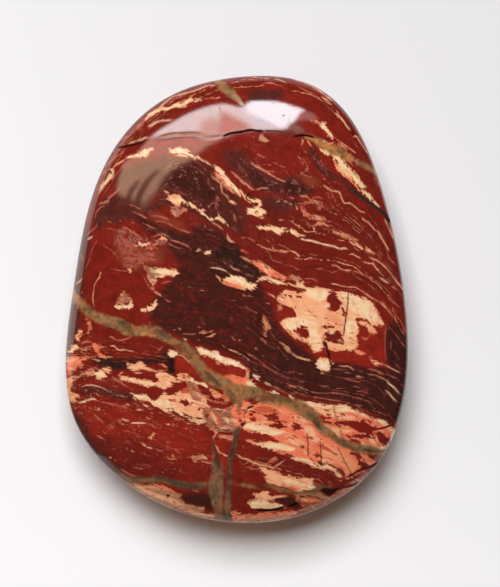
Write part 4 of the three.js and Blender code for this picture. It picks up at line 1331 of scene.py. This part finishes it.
def add(kind, inputs=None, **settings):
    made = tree.nodes.new("ShaderNode" + kind)
    for name, value in settings.items():
        setattr(made, name, value)
    for name, value in (inputs or {}).items():
        if isinstance(value, bpy.types.NodeSocket):
            tree.links.new(value, made.inputs[name])
        else:
            made.inputs[name].default_value = value
    return made


def calculate(operation, first, second=0.0, third=0.0):
    return add("Math", {0: first, 1: second, 2: third}, operation=operation).outputs[0]


def ramp(value, start, end, low=0.0, high=1.0):
    spread = {"Value": value, "From Min": start, "From Max": end, "To Min": low, "To Max": high}
    return add("MapRange", spread, interpolation_type="SMOOTHSTEP").outputs[0]


def blend(share, under, over, kind="MIX"):
    made = add("MixRGB", {"Fac": share, "Color1": under, "Color2": over}, blend_type=kind)
    return made.outputs[0]


def noise(place, scale, detail=2.0, roughness=0.5):
    settings = {"Vector": place, "Scale": scale, "Detail": detail, "Roughness": roughness}
    return add("TexNoise", settings).outputs["Fac"]


place = add("TexCoord").outputs["Object"]
inMillimetres = add("VectorMath", {0: place, 1: (1000, 1000, 1000)}, operation="MULTIPLY").outputs[0]
level = add("Attribute", attribute_name="bandLevel").outputs["Fac"]
wander = calculate("MULTIPLY_ADD", noise(inMillimetres, 0.45, 3.0, 0.6), jasper["wander"], level)


# Place drawn out along the layers: frequency along them in 1/mm, across them in 1/level
def drawnOut(along, across):
    stretch = {0: inMillimetres, 1: (along, along, 0.0)}
    alongLayers = add("VectorMath", stretch, operation="MULTIPLY").outputs[0]
    acrossLayers = add("CombineXYZ", {"Z": calculate("MULTIPLY", wander, across)}).outputs[0]
    return add("VectorMath", {0: alongLayers, 1: acrossLayers}, operation="ADD").outputs[0]


# Noises the layers share, from broad to fine
elsewhere = add("VectorMath", {0: inMillimetres, 1: (31, 17, 5)}).outputs[0]
cloud = noise(inMillimetres, jasper["cloudScale"], 3.0, 0.55)
farCloud = noise(elsewhere, jasper["farCloudScale"], 3.0, 0.6)
streaks = noise(drawnOut(0.6, 0.2), 1.0, 3.0, 0.55)
frays = noise(drawnOut(0.7, 0.4), 1.0, 3.0, 0.6)
grain = noise(inMillimetres, jasper["grainScale"], 3.0, 0.6)
fineGrain = noise(inMillimetres, jasper["fineGrainScale"], 2.0, 0.6)


def layer(name):
    made = add("Attribute", attribute_name=name)
    return made.outputs["Color"], made.outputs["Alpha"]


def around(value, size, base):
    return calculate("MULTIPLY_ADD", calculate("SUBTRACT", value, 0.5), size, base)


# Depth inside a layer, made ragged by the grain and frayed along the layers
def frayed(depth, grainSize, feather):
    return around(frays, feather, around(grain, grainSize, around(fineGrain, 0.6 * grainSize, depth)))


# Ground: cloudy, streaked along the layers, with fine dark and light grain
groundColour, _ = layer("groundLayer")
darker = blend(1.0, groundColour, jasper["dark"], "MULTIPLY")
lighter = blend(1.0, groundColour, jasper["light"], "MULTIPLY")
cloudy = blend(ramp(cloud, 0.3, 0.7), darker, lighter)
surface = blend(jasper["clouds"], groundColour, cloudy)
streaky = blend(ramp(streaks, 0.32, 0.68), darker, lighter)
surface = blend(jasper["streaks"], surface, streaky)
surface = blend(ramp(grain, 0.52, 0.75, 0.0, 0.35), surface, jasper["darkGrain"])
surface = blend(ramp(farCloud, 0.58, 0.76, 0.0, 0.3), surface, jasper["redClouds"])

fleckColour, fleckShare = layer("fleckLayer")
flecked = calculate("MULTIPLY_ADD", fleckShare, 0.4, around(fineGrain, 0.45, around(grain, 0.5, frays)))
surface = blend(ramp(flecked, 0.62, 0.82, 0.0, 0.7), surface, fleckColour)

# Hair-thin lines of equal level, each with its own strength, broken up along their length
threadColour, threadStrength = layer("threadLayer")
count = calculate("DIVIDE", calculate("ADD", wander, around(cloud, 9.0, 0.0)), jasper["threadSpacing"])
fromLine = calculate("ABSOLUTE", calculate("SUBTRACT", calculate("FRACT", count), 0.5))
lineWidth = jasper["threadWidth"] / jasper["threadSpacing"]
thin = ramp(fromLine, 0.9 * lineWidth, 0.3 * lineWidth)
whichLine = add("TexWhiteNoise", {"W": calculate("FLOOR", count)}, noise_dimensions="1D").outputs["Value"]
ownStrength = ramp(whichLine, 0.3, 1.0)
unbroken = ramp(calculate("ADD", farCloud, around(grain, 0.5, 0.0)), 0.42, 0.58)
threadShare = calculate("MULTIPLY", calculate("MULTIPLY", thin, ownStrength), unbroken)
surface = blend(calculate("MULTIPLY", threadShare, threadStrength), surface, threadColour)

lineColour, lineStrength = layer("lineLayer")
broken = around(frays, 1.3, around(grain, 0.7, lineStrength))
lineShare = calculate("MULTIPLY", ramp(broken, 0.35, 0.9), ramp(farCloud, 0.36, 0.56, 0.55, 1.0))
lineTone = blend(ramp(grain, 0.36, 0.64, 0.12, 0.65), lineColour, jasper["linesFade"])
surface = blend(lineShare, surface, lineTone)

# Pale patches: salmon clouds and streaks, redder towards their edges
paleColour, paleDepth = layer("paleLayer")
paleTone = blend(ramp(farCloud, 0.46, 0.64, 0.0, 0.45), paleColour, jasper["salmonClouds"])
paleTone = blend(ramp(frays, 0.5, 0.64, 0.0, 0.45), paleTone, jasper["salmonFrays"])
paleTone = blend(ramp(streaks, 0.54, 0.66, 0.0, 0.45), paleTone, jasper["creamStreaks"])
paleTone = blend(ramp(fineGrain, 0.56, 0.76, 0.0, 0.2), paleTone, jasper["rosyGrain"])
paleInside = frayed(paleDepth, jasper["grain"], jasper["feather"])
paleTone = blend(ramp(paleInside, 1.6, 0.0, 0.0, 0.5), paleTone, jasper["patchEdge"])
redder = ramp(add("SeparateColor", {0: paleColour}).outputs["Blue"], 0.42, 0.1, 0.0, 0.1)
redFlecks = ramp(calculate("ADD", around(grain, 0.35, frays), redder), 0.68, 0.74, 0.0, 0.85)
paleTone = blend(redFlecks, paleTone, jasper["redFlecks"])
surface = blend(ramp(paleInside, -jasper["edge"], jasper["edge"]), surface, paleTone)

islandColour, islandDepth = layer("islandLayer")
islandTone = blend(ramp(cloud, 0.4, 0.65, 0.0, 0.4), islandColour, jasper["islandClouds"])
islandInside = frayed(islandDepth, jasper["grain"], jasper["feather"])
islandShare = ramp(islandInside, -jasper["edge"], jasper["edge"])
surface = blend(islandShare, surface, islandTone)

# Veins: soft edged, in greenish, orange and dark clouds
veinColour, veinDepth = layer("veinLayer")
veinInside = around(grain, 4.0, around(cloud, 5.0, veinDepth))
veinShare = ramp(veinInside, -jasper["veinEdge"], jasper["veinEdge"])
lively = ramp(add("SeparateColor", {0: veinColour}).outputs["Green"], 0.04, 0.11, 0.3, 1.0)
veinTone = veinColour
for share, tone in (
    (ramp(cloud, 0.46, 0.6, 0.0, 0.5), "veinGreen"),
    (ramp(farCloud, 0.5, 0.62, 0.0, 0.65), "veinOrange"),
    (ramp(farCloud, 0.5, 0.38, 0.0, 0.65), "veinBrown"),
    (ramp(grain, 0.5, 0.68, 0.0, 0.4), "veinSand"),
    (ramp(fineGrain, 0.54, 0.72, 0.0, 0.3), "veinDark"),
):
    veinTone = blend(calculate("MULTIPLY", share, lively), veinTone, jasper[tone])
surface = blend(veinShare, surface, veinTone)

# Cracks, and the pits whose dark dots are painted shade
crackAndPitColour, crackAndPitStrength = layer("crackAndPitLayer")
crackAndPitShare = ramp(around(grain, 0.5, crackAndPitStrength), 0.2, 0.8)
surface = blend(crackAndPitShare, surface, crackAndPitColour)

polish = ramp(veinShare, 0, 1, jasper["polish"], jasper["veinPolish"])
polish = calculate("ADD", polish, ramp(fineGrain, 0.55, 0.8, 0.0, 0.06))
mirror = ramp(crackAndPitShare, 0, 1, 0.5, 0.0)
waviness = calculate("MULTIPLY_ADD", fineGrain, 0.25, calculate("MULTIPLY", cloud, 0.5))
pits = calculate("ADD", ramp(fineGrain, 0.68, 0.78), waviness)
pitted = {"Height": pits, "Strength": jasper["pitStrength"], "Distance": jasper["pitDepth"]}
bump = add("Bump", pitted, invert=True)
shader = add("BsdfPrincipled", {
    "Base Color": surface, "Roughness": polish, "IOR": jasper["ior"], "Specular IOR Level": mirror,
    "Normal": bump.outputs[0],
})
add("OutputMaterial", {"Surface": shader.outputs[0]})
stoneMesh.materials.append(material)
print("jasper finish made")


# Plain material with one colour
def plainMaterial(name, colour, roughness):
    made = bpy.data.materials.new(name)
    made.use_nodes = True
    surfaceNode = made.node_tree.nodes["Principled BSDF"]
    surfaceNode.inputs["Base Color"].default_value = (*colour, 1)
    surfaceNode.inputs["Roughness"].default_value = roughness
    surfaceNode.inputs["Specular IOR Level"].default_value = 0.1
    return made


# Sheet of paper under the stone, with painted shade: its colour is made a little darker towards the far
# right
paper = {
    "size": 1.2,
    "colour": (0.885, 0.885, 0.9),
    "shading": 0.126,  # how much lighter and darker its two ends are
    "shadingReach": 0.09,  # metres from the middle to where the shading is full
}
half = paper["size"] / 2
paperMesh = bpy.data.meshes.new("paper")
corners = [(-half, -half, 0), (half, -half, 0), (half, half, 0), (-half, half, 0)]
paperMesh.from_pydata(corners, [], [(0, 1, 2, 3)])
paperSheet = inScene("paper", paperMesh)
paperWithPaintedShade = plainMaterial("paperWithPaintedShade", paper["colour"], 0.9)
tree = paperWithPaintedShade.node_tree
spot = add("SeparateXYZ", {0: add("TexCoord").outputs["Object"]})
farRight = calculate("ADD", spot.outputs["X"], spot.outputs["Y"])
reach, shading = paper["shadingReach"], paper["shading"]
# Painted shade: the paper's colour is lighter towards the lower left and darker towards the upper right, in
# place of the fall-off of the light
shade = ramp(farRight, -reach, reach, 1 + shading, 1 - shading)
paintedLightTint = blend(1.0, (*paper["colour"], 1), shade, "MULTIPLY")
tree.links.new(paintedLightTint, tree.nodes["Principled BSDF"].inputs["Base Color"])
paperMesh.materials.append(paperWithPaintedShade)

# One large soft lamp high on the far side, and a dim warm room
lamp = {"at": (-0.17, 0.66, 1.33), "size": 1.0, "power": 25.8, "colour": (0.96, 0.98, 1.0)}
room = {"colour": (1.0, 0.74, 0.52), "strength": 0.14}
lampData = bpy.data.lights.new("windowLight", "AREA")
lampData.energy, lampData.color = lamp["power"], lamp["colour"]
lampData.shape, lampData.size = "SQUARE", lamp["size"]
windowLight = inScene("windowLight", lampData)
windowLight.location = lamp["at"]
windowLight.rotation_euler = (-Vector(lamp["at"])).to_track_quat("-Z", "Y").to_euler()
windowLight.visible_glossy = False
world = bpy.data.worlds.new("room")
world.use_nodes = True
background = world.node_tree.nodes["Background"]
background.inputs["Color"].default_value = (*room["colour"], 1)
background.inputs["Strength"].default_value = room["strength"]
bpy.context.scene.world = world

# Window light that the polished top mirrors, painted as it lies in the photo: strength, colour,
# how far the edge fades, outline
mirroredLight = [
    (6.4, (1.0, 0.58, 0.46), 1.5, [(150, 139), (165, 139), (182, 136), (200, 136), (210, 138), (222, 138),
        (206, 147), (196, 155), (184, 163), (160, 170), (134, 172), (122, 168), (128, 160), (138, 152)]),
    (5.4, (1.0, 0.66, 0.42), 3, [(134, 160), (160, 156), (184, 156), (190, 158), (178, 165), (169, 172),
        (162, 180), (157, 189), (151, 197), (144, 203), (138, 201), (129, 198), (121, 195), (117, 189),
        (119, 178), (124, 168)]),
    (0.8, (1.0, 0.5, 0.4), 1.2, [(161, 170), (154, 172), (148, 177), (143, 183), (139, 190), (135, 199),
        (135, 205), (140, 202), (144, 194), (148, 187), (152, 180), (157, 175)]),
    (1.0, (1.0, 0.5, 0.4), 1.2, [(141, 179), (136, 182), (131, 187), (127, 194), (126, 201), (130, 199),
        (134, 191), (138, 185)]),
    (12.0, (1.0, 0.97, 0.96), 1.0, [(150, 138), (160, 130), (170, 124), (190, 113), (210, 106), (225, 104),
        (240, 107), (255, 101), (275, 102), (285, 104), (293, 107), (304, 110), (300, 114), (296, 120),
        (291, 124), (286, 129), (276, 130), (262, 130), (240, 131), (222, 137), (210, 136.5), (198, 132.5),
        (182, 132.5), (165, 134.5), (152, 138)]),
    (9.5, (1.0, 0.74, 0.64), 4, [(202, 122), (212, 118), (219, 122), (216, 130), (212, 137), (200, 136)]),
    (8.0, (1.0, 0.55, 0.45), 4, [(222, 112), (232, 116), (242, 121), (250, 126), (248, 130), (236, 132),
        (222, 136), (216, 134), (219, 122)]),
    (13.0, (0.9, 0.95, 1.0), 3, [(244, 106), (255, 103), (280, 104), (300, 110), (292, 120), (284, 128),
        (262, 129), (250, 121), (240, 114)]),
    (20.0, (0.86, 0.95, 1.0), 1.2, [(248, 104), (255, 101), (275, 102), (285, 103.5), (293, 107),
        (304, 110), (299, 114), (295, 119), (291, 123), (287, 127), (278, 127), (270, 122), (258, 117),
        (248, 112)]),
    (2.0, (0.9, 1.0, 0.75), 3, [(289, 124), (297, 125), (305, 131), (300, 133), (290, 130)]),
    (3.0, (1.0, 0.7, 0.6), 2, [(301, 112), (310, 112), (318, 118), (314, 122), (305, 120), (299, 121)]),
]
reflector = {
    "away": 0.15,  # metres from the stone
    "corner": (96, 94),  # first pixel of the photo that it covers
    "step": 2.0,  # pixels from point to point
    "cells": (116, 62),
    "dimmest": 0.05,  # cells with less light are left out
    "neighbours": 12,  # points of the stone that settle where a pixel is mirrored to
}


# Emission at each pixel of the reflector
def paintGlow(at):
    glow = np.zeros((len(at), 3))
    for strength, colour, fade, points in mirroredLight:
        near, weight = fadedPatch(points, fade, at)
        glow[near] += weight * (strength * np.array(colour) - glow[near])
    return glow


# A stage piece that only the stone's polish shows
def onlyInPolish(piece):
    piece.visible_camera = piece.visible_diffuse = piece.visible_shadow = False


# The dome's points, to be found by their place in the photo
nearby = KDTree(int(fromDome.sum()))
for k in np.nonzero(fromDome)[0]:
    nearby.insert((*pixels[k], 0.0), int(k))
nearby.balance()


# Where the mirror image of a pixel of the dome lies, on a sheet away from the stone
def mirrorImage(pixel):
    nearest = [k for _, k, _ in nearby.find_n((*pixel, 0.0), reflector["neighbours"])]
    away = np.column_stack([np.ones(len(nearest)), pixels[nearest] - pixel])
    surfaceThere = np.linalg.lstsq(away, np.hstack([places[nearest], normals[nearest]]), rcond=None)[0][0]
    point, normal = surfaceThere[:3], surfaceThere[3:] / np.linalg.norm(surfaceThere[3:])
    ray = (point - cameraPlace) / np.linalg.norm(point - cameraPlace)
    return point + reflector["away"] * (ray - 2 * (ray @ normal) * normal)


columns, rows = reflector["cells"]
grid = np.array([(column, row) for column in range(columns + 1) for row in range(rows + 1)])
sheet = np.array(reflector["corner"]) + reflector["step"] * grid
glow = paintGlow(sheet)
lit = glow.sum(axis=1) > reflector["dimmest"]
firsts = [column * (rows + 1) + row for column in range(columns) for row in range(rows)]
quads = [(k, k + 1, k + rows + 2, k + rows + 1) for k in firsts]
quads = [quad for quad in quads if lit[list(quad)].any()]
kept = sorted({corner for quad in quads for corner in quad})
order = {corner: k for k, corner in enumerate(kept)}
reflectorMesh = bpy.data.meshes.new("windowReflector")
images = [tuple(mirrorImage(sheet[corner])) for corner in kept]
reflectorMesh.from_pydata(images, [], [[order[corner] for corner in quad] for quad in quads])
glowValues = np.column_stack([glow[kept], np.ones(len(kept))])
reflectorMesh.attributes.new("glow", "FLOAT_COLOR", "POINT").data.foreach_set("color", glowValues.ravel())
windowReflector = inScene("windowReflector", reflectorMesh)
shine = bpy.data.materials.new("windowGlow")
shine.use_nodes = True
tree = shine.node_tree
tree.nodes.clear()
add("OutputMaterial", {"Surface": add("Emission", {"Color": layer("glow")[0]}).outputs[0]})
reflectorMesh.materials.append(shine)
onlyInPolish(windowReflector)
print("window reflector set:", len(quads), "faces")

# Cards on the table, glowing and seen only in the polish, that paint the reflection the rim mirrors in
# place of the paper, bright or dark: brightness, outline
paintedRimReflections = {
    "leftCard": (1.8, [(-0.0215, -0.006), (-0.59, -0.06), (-0.59, 0.59), (-0.1, 0.59), (-0.021, 0.022)]),
    "lowerLeftCard": (0.15, [(-0.0205, -0.0205), (-0.59, -0.5), (-0.59, -0.06), (-0.0215, -0.006)]),
    "frontCard": (0.9, [(-0.019, -0.023), (-0.59, -0.51), (-0.59, -0.59), (0.59, -0.59), (0.59, -0.3),
        (0.02, -0.022)]),
    "rightCard": (0.08, [(0.026, -0.02), (0.59, -0.3), (0.59, 0.59), (0.1, 0.59), (0.021, 0.022)]),
}
cardLook = {"paintedLightTint": (1, 0.85, 0.75, 1), "height": 0.0005}  # height in metres above the paper
for name, (brightness, outline) in paintedRimReflections.items():
    cardMesh = bpy.data.meshes.new(name)
    cardCorners = [(x, y, cardLook["height"]) for x, y in outline]
    cardMesh.from_pydata(cardCorners, [], [tuple(range(len(outline)))])
    cardReflectionGlow = plainMaterial(name, (0, 0, 0), 1.0)
    cardSurface = cardReflectionGlow.node_tree.nodes["Principled BSDF"]
    # Each card's glow is a painted reflection for the rim, not a lamp
    cardSurface.inputs["Emission Color"].default_value = cardLook["paintedLightTint"]
    cardSurface.inputs["Emission Strength"].default_value = brightness
    cardMesh.materials.append(cardReflectionGlow)
    onlyInPolish(inScene(name, cardMesh))
print("paper, lamp, reflectors and cards set")

cameraData = bpy.data.cameras.new("photoCamera")
cameraData.lens = camera["lens"]
cameraData.sensor_width = cameraData.sensor_height = camera["sensor"]
cameraData.clip_start = 0.01
photoCamera = inScene("photoCamera", cameraData)
photoCamera.location = cameraPlace
photoCamera.rotation_euler = (math.radians(90) - elevation, 0, 0)
bpy.context.scene.camera = photoCamera
bpy.context.scene.view_settings.view_transform = "Standard"
